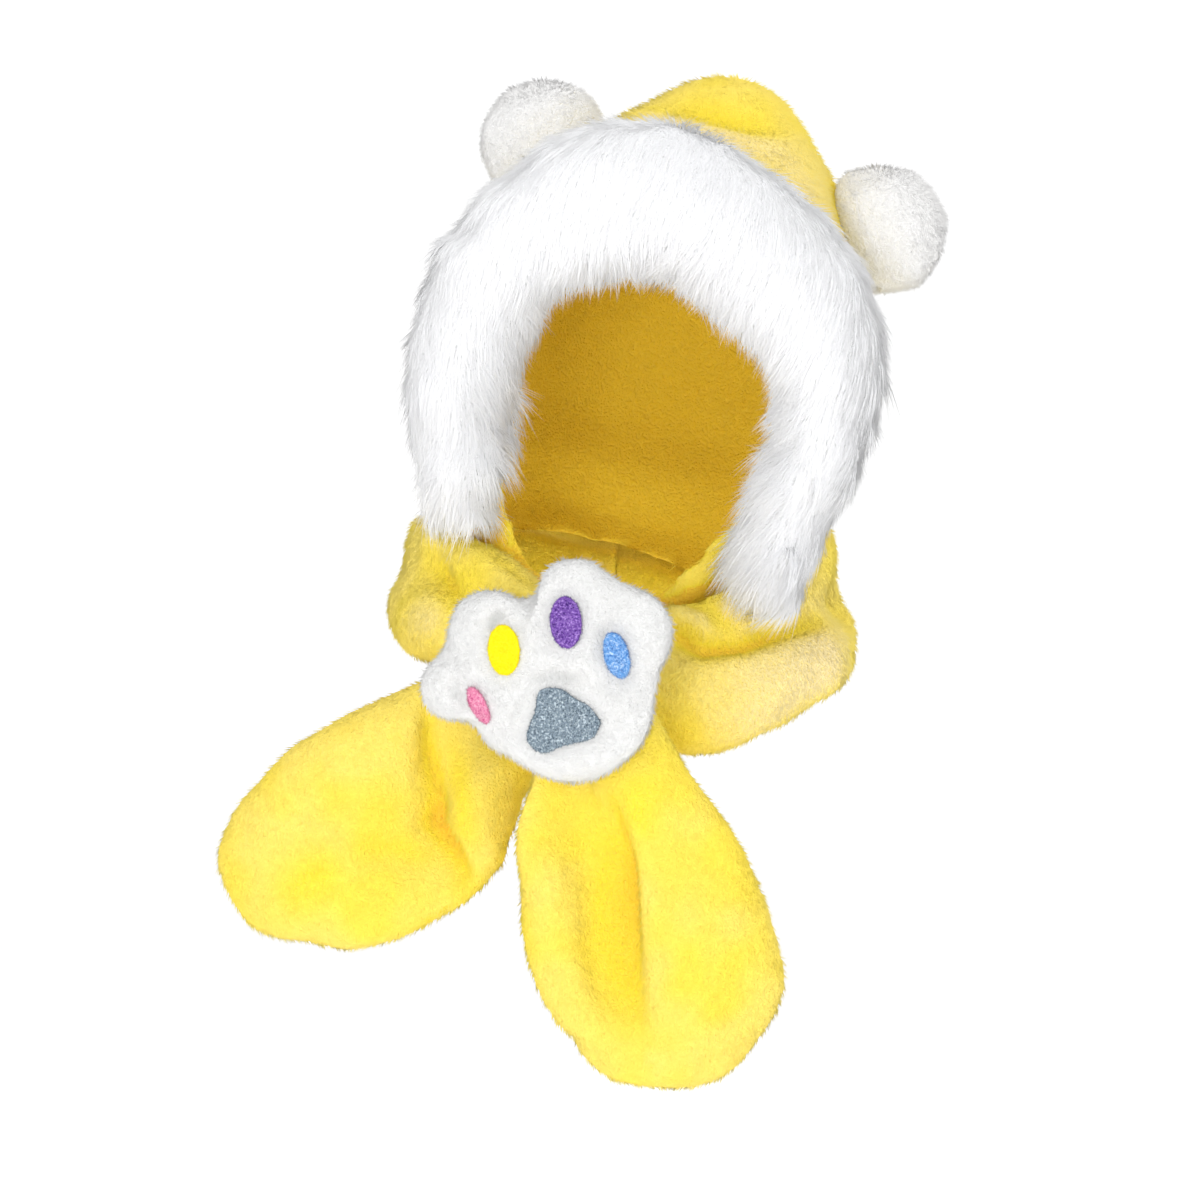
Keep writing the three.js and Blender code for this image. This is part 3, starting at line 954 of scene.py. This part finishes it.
def scattered(
    mesh: bpy.types.Mesh, count: int, keep: Keep, rng: np.random.Generator
) -> tuple[Array, Array, Array]:
    """Spreads points evenly over the wanted parts of a mesh.

    Args:
        mesh: the mesh.
        count: how many points.
        keep: tells from points and normals, as a share from 0 to 1, how thick the points lie there.
        rng: the source of chance.

    Returns:
        The points in metres, the surface normals at them, and the painted shade there.
    """
    mesh.calc_loop_triangles()
    corners = np.empty(len(mesh.loop_triangles) * 3, np.int32)
    mesh.loop_triangles.foreach_get("vertices", corners)
    corners = corners.reshape(-1, 3)
    rows, normals = points_of(mesh), normals_of(mesh)
    a, b, c = (rows[corners[:, i]] for i in range(3))
    middle = (a + b + c) / 3
    facing = unit(np.cross(b - a, c - a))
    area = np.linalg.norm(np.cross(b - a, c - a), axis=1) * keep(middle, facing)
    picked = rng.choice(len(corners), count, p=area / area.sum())
    u, v = rng.random((2, count))
    over = u + v > 1
    u[over], v[over] = 1 - u[over], 1 - v[over]
    weights = np.stack([1 - u - v, u, v], 1)[:, :, None]
    points = np.sum(rows[corners[picked]] * weights, axis=1)
    painted_shade = np.empty(len(rows), np.float32)
    mesh.attributes[PAINTED_SHADE_MAP].data.foreach_get("value", painted_shade)
    facing = unit(np.sum(normals[corners[picked]] * weights, axis=1))
    return points, facing, np.sum(painted_shade[corners[picked]] * weights[:, :, 0], axis=1)


def gathered(roots: Array, tips: Array, pile: Pile, rng: np.random.Generator) -> Array:
    """Draws the strands of each tuft together.

    Args:
        roots: the strands' roots.
        tips: their tips.
        pile: how the pile stands.
        rng: the source of chance.

    Returns:
        The tips, moved towards that of the strand in the middle of their tuft.
    """
    leaders = rng.choice(len(roots), max(len(roots) // pile.tuft, 1), replace=False)
    tree = KDTree(len(leaders))
    for i, leader in enumerate(leaders):
        tree.insert(roots[leader], i)
    tree.balance()
    mine = leaders[[tree.find(root)[1] for root in roots]]
    return tips + (tips[mine] - tips) * pile.clump * rng.uniform(0.5, 1.0, (len(roots), 1))


def strand_mesh(
    name: str,
    rings: list[Array],
    tips: Array,
    widths: list[Array],
    tone: Array,
    normals: Array,
    painted_shade: Array,
    softness: float,
) -> bpy.types.Mesh:
    """Joins closed three-sided strands into one mesh, with a map of strand across and height up.

    Their shading normals lean towards those of the skin, so the pile is shaded as one soft mass.

    Args:
        name: the mesh's name.
        rings: the middle of each ring of each strand, from the root up.
        tips: the tip of each strand.
        widths: the width of each strand at each ring.
        tone: a number from 0 to 1 for each strand.
        normals: the skin's normal under each strand.
        painted_shade: the painted shade under each strand.
        softness: how far the strands' shading normals lean, from 0 to 1.

    Returns:
        The mesh.
    """
    count, steps = len(tips), len(rings)
    along = unit(tips - rings[0])
    side = unit(np.cross(along, np.roll(along, 1, axis=1) + 0.31))
    other = np.cross(along, side)
    per = 3 * steps + 1
    rows = np.empty((count, per, 3))
    for j, (middle, width) in enumerate(zip(rings, widths)):
        for k in range(3):
            angle = 2 * math.pi * k / 3
            reach = (width / 2)[:, None]
            rows[:, 3 * j + k] = middle + reach * (math.cos(angle) * side + math.sin(angle) * other)
    rows[:, -1] = tips
    faces = [[2, 1, 0]]
    for j in range(steps - 1):
        for k in range(3):
            a, b = 3 * j + k, 3 * j + (k + 1) % 3
            faces.append([a, b, b + 3, a + 3])
    top = 3 * (steps - 1)
    faces += [[top + k, top + (k + 1) % 3, per - 1] for k in range(3)]
    pattern = np.array([corner for face in faces for corner in face])
    sizes = np.array([len(face) for face in faces])
    mesh = bpy.data.meshes.new(name)
    mesh.vertices.add(count * per)
    mesh.vertices.foreach_set("co", rows.ravel())
    mesh.loops.add(count * len(pattern))
    loops = (pattern[None] + np.arange(count)[:, None] * per).ravel()
    mesh.loops.foreach_set("vertex_index", loops.astype(np.int32))
    mesh.polygons.add(count * len(faces))
    starts = np.concatenate([[0], np.cumsum(np.tile(sizes, count))[:-1]])
    mesh.polygons.foreach_set("loop_start", starts.astype(np.int32))
    height = np.repeat(np.arange(steps) / steps, 3)
    height = np.append(height, 1.0)[pattern]
    places = np.empty((count, len(pattern), 2))
    places[:, :, 0] = tone[:, None]
    places[:, :, 1] = height[None]
    mesh.update(calc_edges=True)
    layer = mesh.uv_layers.new(name=STRAND_MAP, do_init=False)
    layer.uv.foreach_set("vector", places.ravel().astype(np.float32))
    mark(mesh, np.repeat(painted_shade, per))
    mesh.polygons.foreach_set("use_smooth", np.ones(len(mesh.polygons), bool))
    soft = normals_of(mesh) * (1 - softness) + np.repeat(normals, per, axis=0) * softness
    mesh.normals_split_custom_set_from_vertices(unit(soft).tolist())
    return mesh


def everywhere(points: Array, normals: Array) -> Array:
    """Keeps all of a surface."""
    return np.ones(len(points))


def downwards(points: Array, normals: Array) -> Array:
    """Combs the pile down."""
    return level(np.tile([0.0, 0.0, -1.0], (len(points), 1)) + 1e-4, normals)


def grow(
    name: str,
    mesh: bpy.types.Mesh,
    pile: Pile,
    finish: Plush | Speckle,
    seed: int,
    around: BVHTree,
    comb: Comb = downwards,
    keep: Keep = everywhere,
) -> bpy.types.Object:
    """Grows a pile on a skin.

    Args:
        name: the name of the new piece.
        mesh: the skin.
        pile: how the pile stands.
        finish: what it looks like.
        seed: picks its strands.
        around: the solids that press the pile flat where they touch it.
        comb: gives the way in which the strands lie, from points and normals.
        keep: tells how thick the pile is, from points and normals.

    Returns:
        The piece that holds all the strands.
    """
    rng = np.random.default_rng(seed)
    reach = pile.length * MM

    def open_air(points: Array, normals: Array) -> Array:
        """Thins the pile where another piece lies on it.

        Args:
            points: places on the skin.
            normals: the normals there.

        Returns:
            How thick the pile is at each place.
        """
        thick = keep(points, normals)
        for i in np.flatnonzero(thick > 0):
            hit = around.ray_cast(Vector(points[i]), Vector(normals[i]), reach * 0.8)[3]
            if hit is not None:
                thick[i] *= PRESSED_SHARE
        return thick

    roots, normals, painted_shade = scattered(mesh, pile.count, open_air, rng)
    combed = comb(roots, normals)
    strength = np.linalg.norm(combed, axis=1, keepdims=True)
    chance = rng.normal(size=roots.shape) * pile.stray
    swirl = np.stack([soft_noise(roots, 34.0, seed + k) for k in range(3)], 1) * pile.swirl
    flow = level(combed + swirl, normals)
    direction = unit(normals * (1 - pile.lean) + flow * pile.lean * strength + chance)
    below = np.sum(direction * normals, axis=1, keepdims=True)
    direction = unit(direction + normals * np.maximum(0.1 - below, 0))
    length = reach * rng.uniform(*LENGTHS, (pile.count, 1))
    tips = roots + direction * length
    if pile.clump:
        tips = gathered(roots, tips, pile, rng)
    width = pile.width * MM * rng.uniform(*WIDTHS, pile.count)
    sunk = roots - normals * (ROOT_DEPTH * MM)
    if pile.segments == 2:
        bend = (flow * 0.5 - normals * 0.5) * length * pile.droop
        tips = tips + bend
    share = np.ones((pile.count, 1))
    for i in range(pile.count):
        way = Vector(tips[i] - roots[i])
        hit = around.ray_cast(Vector(roots[i]), way.normalized(), way.length)[3]
        if hit is not None:
            share[i] = max(hit / way.length * 0.9, SHORTEST_SHARE)
    tips = roots + (tips - roots) * share
    rings, widths = [sunk], [width]
    if pile.segments == 2:
        rings.append(sunk + (tips - sunk) * 0.5 - bend * share * 0.35)
        widths.append(width * 0.78)
    made = strand_mesh(name, rings, tips, widths, rng.random(pile.count), normals, painted_shade, pile.soft)
    new = piece(name, made, finish.strands())
    new.visible_shadow = False
    return new


def cover(name: str, mesh: bpy.types.Mesh, finish: Plush | Speckle, node: str) -> bpy.types.Object:
    """Makes a skin the piece that stands for its solid.

    Args:
        name: the piece's name.
        mesh: the skin.
        finish: what it looks like.
        node: the solid's name.

    Returns:
        The piece.
    """
    made = piece(name, mesh, finish.cloth())
    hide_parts(node)
    return made


# Parts

HOOD_TILT = (
    Matrix.Rotation(math.radians(15.5), 3, "Y")
    @ Matrix.Rotation(math.radians(12), 3, "X")
    @ Matrix.Rotation(math.radians(-5), 3, "Z")
)


def hood_frame(points: Array) -> Array:
    """Returns points of the whole object in the hood's own frame, in millimetres."""
    return (points @ np.array(HOOD_TILT)) / MM


@dataclass
class Hood:
    """The hollow yellow hood with its raised crown."""

    form: SkinForm = field(default_factory=lambda: SkinForm(3.8, 10, 0.7, lumps=0.5, lump_size=40))
    outer: Pile = field(
        default_factory=lambda: Pile(28000, 3.8, 0.55, lean=0.68, stray=0.17, clump=0.0, swirl=0.2)
    )
    # The tints paint shade along the crown's dent and, where they are below 0, highlights over the crown.
    creases: tuple[Crease, ...] = (
        Crease(((-33, -7), (-22, -9), (-10, -12.5), (5, -16.5), (17, -18)), 6.0, 10.0, 4.0, 90, 0.5),
        Crease(((-30, -15), (-8, -20), (14, -26)), -2.0, 6.0, 6.0, 90),
        Crease(((-44, -13), (-30, -16), (-9, -21), (15, -28)), 0.0, 4.5, 8.0, 90, -0.45),
        Crease(((18, -30), (32, -50), (44, -80)), 0.0, 14.0, 14.0, 90, -0.35),
    )

    def build(self) -> None:
        """Makes the hood's skin and its plush."""
        mesh = skin("hood_shell", self.form, self.creases, seed=11)
        self.shade_inside(mesh)
        made = cover("hood", mesh, YELLOW, "hood_shell")
        grow("hood_plush", mesh, self.outer, YELLOW, 12, neighbours("hood_shell"), self.comb, self.keep)

    def comb(self, points: Array, normals: Array) -> Array:
        """Combs the plush from the crown down and back."""
        return level(np.tile([-0.2, 0.35, -1.0], (len(points), 1)), normals)

    def outward(self, points: Array, normals: Array) -> Array:
        """Returns how far each point's face looks away from the middle of the hollow."""
        local = hood_frame(points)
        return np.sum(unit(local - np.array([0.0, 0.0, -100.0])) * (normals @ np.array(HOOD_TILT)), axis=1)

    def shade_inside(self, mesh: bpy.types.Mesh) -> None:
        """Paints shade on the lining inside the hollow, as a deeper tone.

        Args:
            mesh: the hood's skin.
        """
        painted_shade = np.empty(len(mesh.vertices), np.float32)
        mesh.attributes[PAINTED_SHADE_MAP].data.foreach_get("value", painted_shade)
        inside = self.outward(points_of(mesh), normals_of(mesh)) < 0
        mark(mesh, np.where(inside, 0.7, painted_shade))

    def keep(self, points: Array, normals: Array) -> Array:
        """Grows thick plush outside and thins it inside."""
        return np.where(self.outward(points, normals) > 0.2, 1.0, 0.2)


@dataclass
class Brim:
    """The deep white fur brim round the face."""

    form: SkinForm = field(default_factory=lambda: SkinForm(4.0, 26, -1.2, 0.9, 30, thin=5.5, shade=0.5))
    under: Pile = field(
        default_factory=lambda: Pile(42000, 12.0, 0.47, lean=0.62, stray=0.18, clump=0.3, tuft=10, soft=0.74)
    )
    guard: Pile = field(
        default_factory=lambda: Pile(
            18000, 19.0, 0.34, lean=0.7, stray=0.12, clump=0.45, tuft=14, droop=0.3, segments=2, soft=0.5
        )
    )
    middle: tuple[float, float, float] = (1.0, -72.0, -128.0)
    half: Spot = (72.0, 86.0)
    nudges: tuple[Nudge, ...] = (
        Nudge((-62, -24), (-1.5, 5.0), 22.0, 60),
        Nudge((-30, -20), (0.0, 5.0), 24.0, 60),
        Nudge((45, -177), (-6.0, 0.0), 17.0, 60),
        Nudge((37, -199), (-6.0, 2.0), 14.0, 60),
        Nudge((-34, -84), (0.0, 5.5), 24.0, 60),
        Nudge((5, -138), (6.0, 0.0), 26.0, 60),
    )
    # Painted shade: grey along the inner edges of the face opening and at the flap's low end.
    painted_shadows: tuple[Crease, ...] = (
        Crease(((-74, -88), (-56, -76), (-36, -74), (-10, -88), (6, -119)), 0.0, 13.0, 13.0, 60, 0.75, 0.5),
        Crease(((-88, -99), (-94, -130), (-96, -165)), 0.0, 12.0, 12.0, 60, 0.7, 0.5),
        Crease(((12, -135), (4, -165), (-2, -195)), 0.0, 12.0, 12.0, 60, 0.6, 0.5),
        Crease(((16, -196), (32, -198)), 0.0, 22.0, 22.0, 60, 0.9, 0.0),
    )

    def build(self) -> None:
        """Makes the padded roll and its two coats of fur."""
        mesh = skin("fur_brim", self.form, self.painted_shadows, seed=21, nudges=self.nudges)
        made = cover("brim", mesh, WHITE, "fur_brim")
        around = neighbours("fur_brim")
        grow("brim_undercoat", mesh, self.under, WHITE, 22, around, self.comb)
        grow("brim_fur", mesh, self.guard, WHITE, 23, around, self.comb)

    def comb(self, points: Array, normals: Array) -> Array:
        """Combs the fur over the edge of the hood, down and into the face opening, flatter outside.

        Args:
            points: the strands' roots.
            normals: the normals there.

        Returns:
            The way that each strand lies, longer where it lies flatter.
        """
        local = hood_frame(points)
        across = (local[:, 0] - self.middle[0]) / self.half[0]
        up = np.maximum((local[:, 2] - self.middle[2]) / self.half[1], 0)
        spread = np.stack([across, np.zeros(len(across)), up + 0.001], 1)
        outside = np.clip((np.linalg.norm(spread, axis=1) - 0.95) * 4, 0, 1)[:, None]
        back = 0.45 - outside * 0.95
        flow = np.hstack([back * 0, back, back * 0 - 1.0]) - spread * 0.22 * (1 - outside)
        return level(flow @ np.array(HOOD_TILT).T, normals) * (1 + outside * 1.2)


@dataclass
class Ears:
    """The two stuffed white ball ears."""

    form: SkinForm = field(
        default_factory=lambda: SkinForm(2.5, 34, -5.2, lumps=0.4, lump_size=26, thin=-5.0, shade=0.5)
    )
    pile: Pile = field(default_factory=lambda: Pile(7000, 2.8, 0.42, lean=0.55, stray=0.2, clump=0.0))

    def build(self) -> None:
        """Makes both ears."""
        for seed, side in ((31, "left"), (34, "right")):
            node = f"ear_{side}"
            mesh = skin(node, self.form, seed=seed)
            made = cover(f"{node}_ball", mesh, EAR_WHITE, node)
            grow(f"{node}_plush", mesh, self.pile, EAR_WHITE, seed + 1, neighbours(node))


@dataclass
class Scarf:
    """The two halves of the scarf, round the neck and down to the padded tails."""

    form: SkinForm = field(
        default_factory=lambda: SkinForm(
            3.0, 12, 1.2, lumps=1.0, lump_size=36, thin=2.8, shade=0.4, puff=4.0
        )
    )
    pile: Pile = field(
        default_factory=lambda: Pile(32000, 3.6, 0.58, lean=0.72, stray=0.13, clump=0.0, swirl=0.25)
    )
    seam: float = -52.4
    shear: float = 0.12
    nape: float = 45.0
    spare: float = 14.0
    # Each tint paints shade along its crease, or where it is below 0 a highlight; creases of no depth only
    # paint.
    under: tuple[Crease, ...] = (
        Crease(((-124.8, -252), (-125, -288), (-127, -299), (-120, -311), (-113, -324)), 4.0, 12.0, 5.0, -40),
        Crease(
            ((-124.8, -250), (-124, -288), (-125, -297), (-118, -308), (-111, -322)), 7.0, 3.2, 4.0, -40, 1.0
        ),
        Crease(((-158, -306), (-145, -305), (-134, -306), (-124, -311)), 3.0, 4.0, 8.0, -40, 0.4),
        Crease(((-186, -330), (-172, -318), (-158, -312)), 0.0, 12.0, 12.0, -40, 0.5),
        Crease(((-116, -262), (-113, -285), (-113, -305)), 0.0, 6.0, 6.0, -40, 0.5),
        Crease(((-145, -318), (-130, -320)), 0.0, 8.0, 8.0, -40, -0.4),
        Crease(((-28, -220), (-15, -225), (0, -223), (14, -218), (32, -214)), 6.5, 3.4, 4.5, 20, 1.0, 0.5),
        Crease(((-30, -202), (-12, -209), (-8, -215), (1, -221)), 3.0, 3.5, 4.0, 20, 0.6),
        Crease(((-34, -206), (-20, -214), (-6, -216)), -1.5, 5.0, 5.0, 20),
        Crease(((-6, -238), (18, -238), (40, -225), (20, -250), (-6, -262)), 0.0, 20.0, 20.0, 20, -0.5),
        Crease(((-26, -207), (-8, -211), (8, -209)), 0.0, 8.0, 8.0, 20, -0.4),
    )
    under_nudges: tuple[Nudge, ...] = (
        Nudge((36, -187), (0.0, 7.0), 11.0, 60),
        Nudge((41, -209), (-6.0, 0.0), 9.0, 40),
        Nudge((46, -238), (2.5, -1.0), 9.0, 40),
        Nudge((31, -258), (-1.0, 5.5), 14.0, 40),
        Nudge((8, -267), (0.0, 4.0), 14.0, 40),
        Nudge((-95, -296), (7.0, 0.0), 11.0, -40),
        Nudge((-99, -322), (0.0, 6.0), 12.0, -40),
    )
    # Each tint paints shade along its crease, or where it is below 0 a highlight; creases of no depth only
    # paint.
    over: tuple[Crease, ...] = (
        Crease(
            ((-56.4, -292), (-49, -312), (-47.6, -329), (-46, -354), (-39, -384)), 7.0, 4.0, 16.0, -40, 0.7
        ),
        Crease(((-52, -286), (-47, -312), (-45.6, -329), (-44, -354)), 4.0, 3.0, 4.0, -40, 1.0),
        Crease(((-56, -300), (-57, -330), (-55, -350)), 0.0, 5.0, 5.0, -40, 0.5),
        Crease(((-43, -276), (-42, -290), (-40, -305)), 0.0, 9.0, 9.0, -40, 0.5),
        Crease(((-127, -189), (-122, -196), (-113, -206)), 7.0, 4.0, 5.0, 20, 0.8),
        Crease(((-104, -179), (-92, -188), (-80, -197)), 5.0, 5.0, 5.0, 20, 0.6),
        Crease(((-121, -196), (-114, -199), (-106, -205)), 0.0, 9.0, 9.0, 20, 0.5),
        Crease(((-134, -208), (-122, -218)), 0.0, 12.0, 12.0, 20, -0.3),
    )
    over_nudges: tuple[Nudge, ...] = (Nudge((-86, -298), (-6.5, 0.0), 17.0, -40),)

    def build(self) -> None:
        """Makes both halves."""
        halves = (
            (41, "under", 1, self.under, self.under_nudges),
            (45, "over", -1, self.over, self.over_nudges),
        )
        for seed, half, side, creases, nudges in halves:
            node = f"scarf_{half}"
            mesh = skin(node, self.form, creases, seed, lambda copy: self.lengthen(copy, side), nudges)
            self.cut_at_seam(mesh, side)
            made = cover(f"{node}_band", mesh, YELLOW, node)
            grow(f"{node}_plush", mesh, self.pile, YELLOW, seed + 1, neighbours(node))

    def lengthen(self, mesh: bpy.types.Mesh, side: int) -> None:
        """Draws the end at the back of the neck past the seam, so that its rounding can be cut off.

        Args:
            mesh: the copy of the half's solid.
            side: 1 for the half on the right of the seam and -1 for the other.
        """
        rows = points_of(mesh)
        end = (rows[:, 1] > self.nape * MM) & (np.abs(rows[:, 0] / MM - self.seam) < 1.0)
        rows[end, 0] -= side * self.spare * MM
        set_points(mesh, rows)

    def cut_at_seam(self, mesh: bpy.types.Mesh, side: int) -> None:
        """Cuts a half off where it is sewn to the other, on a slant that no light shows through.

        Args:
            mesh: the half's skin.
            side: 1 for the half on the right of the seam and -1 for the other.
        """
        work = bmesh.new()
        work.from_mesh(mesh)
        faces = [face for face in work.faces if face.calc_center_median().y > self.nape * MM]
        edges = dict.fromkeys(edge for face in faces for edge in face.edges)
        verts = dict.fromkeys(vert for face in faces for vert in face.verts)
        middle = ((self.seam + side * 0.2) * MM, (self.nape + 35) * MM, 0.0)
        across = Vector((-side, side * self.shear, 0.0)).normalized()
        cut = bmesh.ops.bisect_plane(
            work, geom=[*faces, *edges, *verts], plane_co=middle, plane_no=across, clear_outer=True
        )
        rim = [part for part in cut["geom_cut"] if isinstance(part, bmesh.types.BMEdge)]
        closed = bmesh.ops.holes_fill(work, edges=rim, sides=0)["faces"]
        bmesh.ops.triangulate(work, faces=closed)
        work.to_mesh(mesh)
        work.free()


@dataclass
class Paw:
    """The padded white paw and its five coloured pads."""

    form: SkinForm = field(
        default_factory=lambda: SkinForm(2.2, 10, 0.9, lumps=0.4, lump_size=18, shade=0.6, puff=3.0)
    )
    pile: Pile = field(
        default_factory=lambda: Pile(15000, 3.0, 0.42, lean=0.62, stray=0.18, clump=0.0, swirl=0.3)
    )
    felt: Pile = field(default_factory=lambda: Pile(1300, 1.0, 0.5, lean=0.3, stray=0.5, clump=0.0))
    sink: float = 1.6
    pull: float = 2.4
    pull_reach: float = 5.0
    cover_depth: float = 9.0
    palm_share: float = 2.4
    # The tints paint shade in the dimples round the pads.
    creases: tuple[Crease, ...] = (
        Crease(((-104, -220), (-99, -214), (-94, -210)), 2.6, 4.5, 3.0, 0, 1.0),
        Crease(((-115.5, -236), (-116, -244), (-113, -251)), 2.6, 3.5, 4.5, 0, 0.9),
        Crease(((-90, -241), (-76, -238), (-60, -240)), 2.8, 4.5, 3.5, 0, 0.9),
        Crease(((-86, -246), (-91, -254), (-96, -262)), 2.2, 3.5, 3.5, 0, 0.7),
        Crease(((-53, -214), (-56, -222), (-57, -232)), 2.2, 3.5, 3.5, 0, 0.8),
        Crease(((-79, -212), (-78, -222), (-75, -230)), 1.2, 3.0, 3.0, 0, 0.3),
        Crease(((-84, -200), (-83, -208), (-83, -222), (-80, -232)), 2.2, 6.0, 5.0, 0, 0.2),
        Crease(((-48, -203), (-54, -210), (-60, -224)), 2.2, 5.0, 5.0, 0, 0.2),
        Crease(((-124, -232), (-118, -230), (-108, -232), (-98, -238)), 2.2, 5.0, 5.0, 0, 0.2),
    )
    pads: tuple[tuple[str, Speckle], ...] = (
        ("outer_toe_pad", PINK_PAD),
        ("second_toe_pad", YELLOW_PAD),
        ("third_toe_pad", PURPLE_PAD),
        ("inner_toe_pad", BLUE_PAD),
        ("palm_pad", GREY_PAD),
    )
    tree: BVHTree = field(init=False)

    def build(self) -> None:
        """Makes the paw, then its pads."""
        self.tree = tree_of([node for node, _ in self.pads])
        mesh = skin("paw_patch", self.form, self.creases, seed=51)
        self.dimple(mesh)
        made = cover("paw", mesh, PAW_WHITE, "paw_patch")
        grow("paw_plush", mesh, self.pile, PAW_WHITE, 52, neighbours("paw_patch"), keep=self.keep)
        for i, (node, finish) in enumerate(self.pads):
            self.pad(node, finish, 60 + i)

    def dimple(self, mesh: bpy.types.Mesh) -> None:
        """Sinks the front of the paw round each pad, where the stitches pull it in.

        Args:
            mesh: the paw's skin.
        """
        rows = points_of(mesh)
        away = np.array([self.tree.find_nearest(Vector(row))[3] for row in rows]) / MM
        rows[:, 1] += self.pull * MM * np.exp(-((away / self.pull_reach) ** 2)) * (normals_of(mesh)[:, 1] < 0)
        set_points(mesh, rows)

    def keep(self, points: Array, normals: Array) -> Array:
        """Leaves out the plush under the pads.

        Args:
            points: places on the paw.
            normals: the normals there.

        Returns:
            1 where plush grows, and 0 under a pad.
        """
        free = np.ones(len(points))
        for i, (point, normal) in enumerate(zip(points, normals)):
            if self.tree.ray_cast(Vector(point), Vector(normal), self.cover_depth * MM)[0]:
                free[i] = 0.0
        return free

    def pad(self, node: str, finish: Speckle, seed: int) -> None:
        """Makes one pad, sunk a little into the plush round it.

        Args:
            node: the pad's solid.
            finish: its coloured felt.
            seed: picks its strands.
        """
        mesh = skin(node, SkinForm(0.6, 4, 0.0, lumps=0.0), seed=seed)
        rows = points_of(mesh)
        rows[:, 1] += self.sink * MM
        set_points(mesh, rows)
        # Painted shade: the sides of the pad that turn from the front take the dark tone.
        mark(mesh, np.clip(1.25 + normals_of(mesh)[:, 1] * 1.5, 0, 0.8))
        cover(f"{node}_felt", mesh, finish, node)
        count = int(self.felt.count * (self.palm_share if node == "palm_pad" else 1.0))
        felt = Pile(count, self.felt.length, self.felt.width, self.felt.lean, self.felt.stray, 0.0)
        grow(f"{node}_pile", mesh, felt, finish, seed + 10, neighbours("paw_patch"), keep=self.front)

    def front(self, points: Array, normals: Array) -> Array:
        """Keeps the side that shows."""
        return (normals[:, 1] < 0.1).astype(float)


# Stage


class Lamp(Enum):
    """The soft lamps: where each stands from the middle of the object, its size and its power."""

    KEY = ((-1.0, -2.0, 1.2), 1.1, 11.0)
    FRONT = ((-0.5, -2.25, -0.05), 0.5, 12.5)
    FILL = ((1.6, -1.7, 0.1), 1.6, 8.5)
    TOP = ((0.1, -0.2, 1.6), 1.4, 6.0)
    BACK = ((0.6, 1.2, 0.9), 1.2, 10.0)


@dataclass
class Studio:
    """The pale floor with its curved back, the lamps and the camera."""

    middle: tuple[float, float, float] = (-0.0568, -0.06, -0.2072)
    distance: float = 2.2
    frame_width: float = 0.48
    sensor: float = 36.0
    floor: float = -0.56
    daylight: float = 0.66
    bend: int = 12

    def build(self) -> None:
        """Makes the stage."""
        self.sweep()
        for lamp in Lamp:
            self.lamp(lamp)
        world = bpy.data.worlds.new("daylight")
        bpy.context.scene.world = world
        world.use_nodes = True
        world.node_tree.nodes["Background"].inputs[0].default_value = (1.0, 1.0, 1.0, 1.0)
        world.node_tree.nodes["Background"].inputs[1].default_value = self.daylight
        bpy.context.scene.view_settings.view_transform = "Standard"
        self.camera()

    def sweep(self) -> None:
        """Makes the floor, which bends up into the wall behind."""
        work = bmesh.new()
        bmesh.ops.create_grid(work, x_segments=1, y_segments=1, size=6.0)
        for vertex in work.verts:
            vertex.co.z = self.floor
        back = [e for e in work.edges if all(v.co.y > 5 for v in e.verts)]
        for turn in range(self.bend):
            out = bmesh.ops.extrude_edge_only(work, edges=back)["geom"]
            back = [g for g in out if isinstance(g, bmesh.types.BMEdge)]
            angle = math.radians(90 * (turn + 1) / self.bend)
            step = Vector((0, math.cos(angle), math.sin(angle))) * (2.0 if turn == self.bend - 1 else 0.22)
            bmesh.ops.translate(work, verts=list({v for e in back for v in e.verts}), vec=step)
        mesh = bpy.data.meshes.new("sweep")
        work.to_mesh(mesh)
        work.free()
        paper = bpy.data.materials.new("paper")
        paper.use_nodes = True
        surface = paper.node_tree.nodes["Principled BSDF"]
        surface.inputs["Base Color"].default_value = (0.97, 0.97, 0.97, 1.0)
        surface.inputs["Roughness"].default_value = 0.9
        surface.inputs["Emission Color"].default_value = (1.0, 1.0, 1.0, 1.0)
        surface.inputs["Emission Strength"].default_value = 0.3
        mesh.materials.append(paper)
        made = bpy.data.objects.new("sweep", mesh)
        bpy.context.scene.collection.objects.link(made)
        made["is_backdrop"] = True

    def lamp(self, lamp: Lamp) -> None:
        """Makes one lamp that looks at the middle of the object.

        Args:
            lamp: which lamp.
        """
        place, size, power = lamp.value
        data = bpy.data.lights.new(lamp.name.lower(), "AREA")
        data.size = size
        data.energy = power
        made = bpy.data.objects.new(lamp.name.lower(), data)
        made.location = Vector(self.middle) + Vector(place)
        made.rotation_euler = (-Vector(place)).to_track_quat("-Z", "Y").to_euler()
        bpy.context.scene.collection.objects.link(made)

    def camera(self) -> None:
        """Makes the camera, level and straight in front."""
        data = bpy.data.cameras.new("camera")
        data.sensor_width = self.sensor
        data.lens = self.sensor * self.distance / self.frame_width
        made = bpy.data.objects.new("camera", data)
        made.location = Vector(self.middle) + Vector((0, -self.distance, 0))
        made.rotation_euler = (math.radians(90), 0, 0)
        bpy.context.scene.collection.objects.link(made)
        bpy.context.scene.camera = made


def main() -> None:
    """Builds every part, then the stage."""
    logging.basicConfig(level=logging.INFO, format="%(name)s: %(message)s")
    for part in (Hood(), Brim(), Ears(), Scarf(), Paw(), Studio()):
        part.build()
        LOG.info("built %s", type(part).__name__.lower())
    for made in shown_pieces():
        faces = sum(len(p.vertices) - 2 for p in made.data.polygons)
        LOG.info("%s: %d triangles", made.name, faces)


if __name__ == "__main__":
    main()
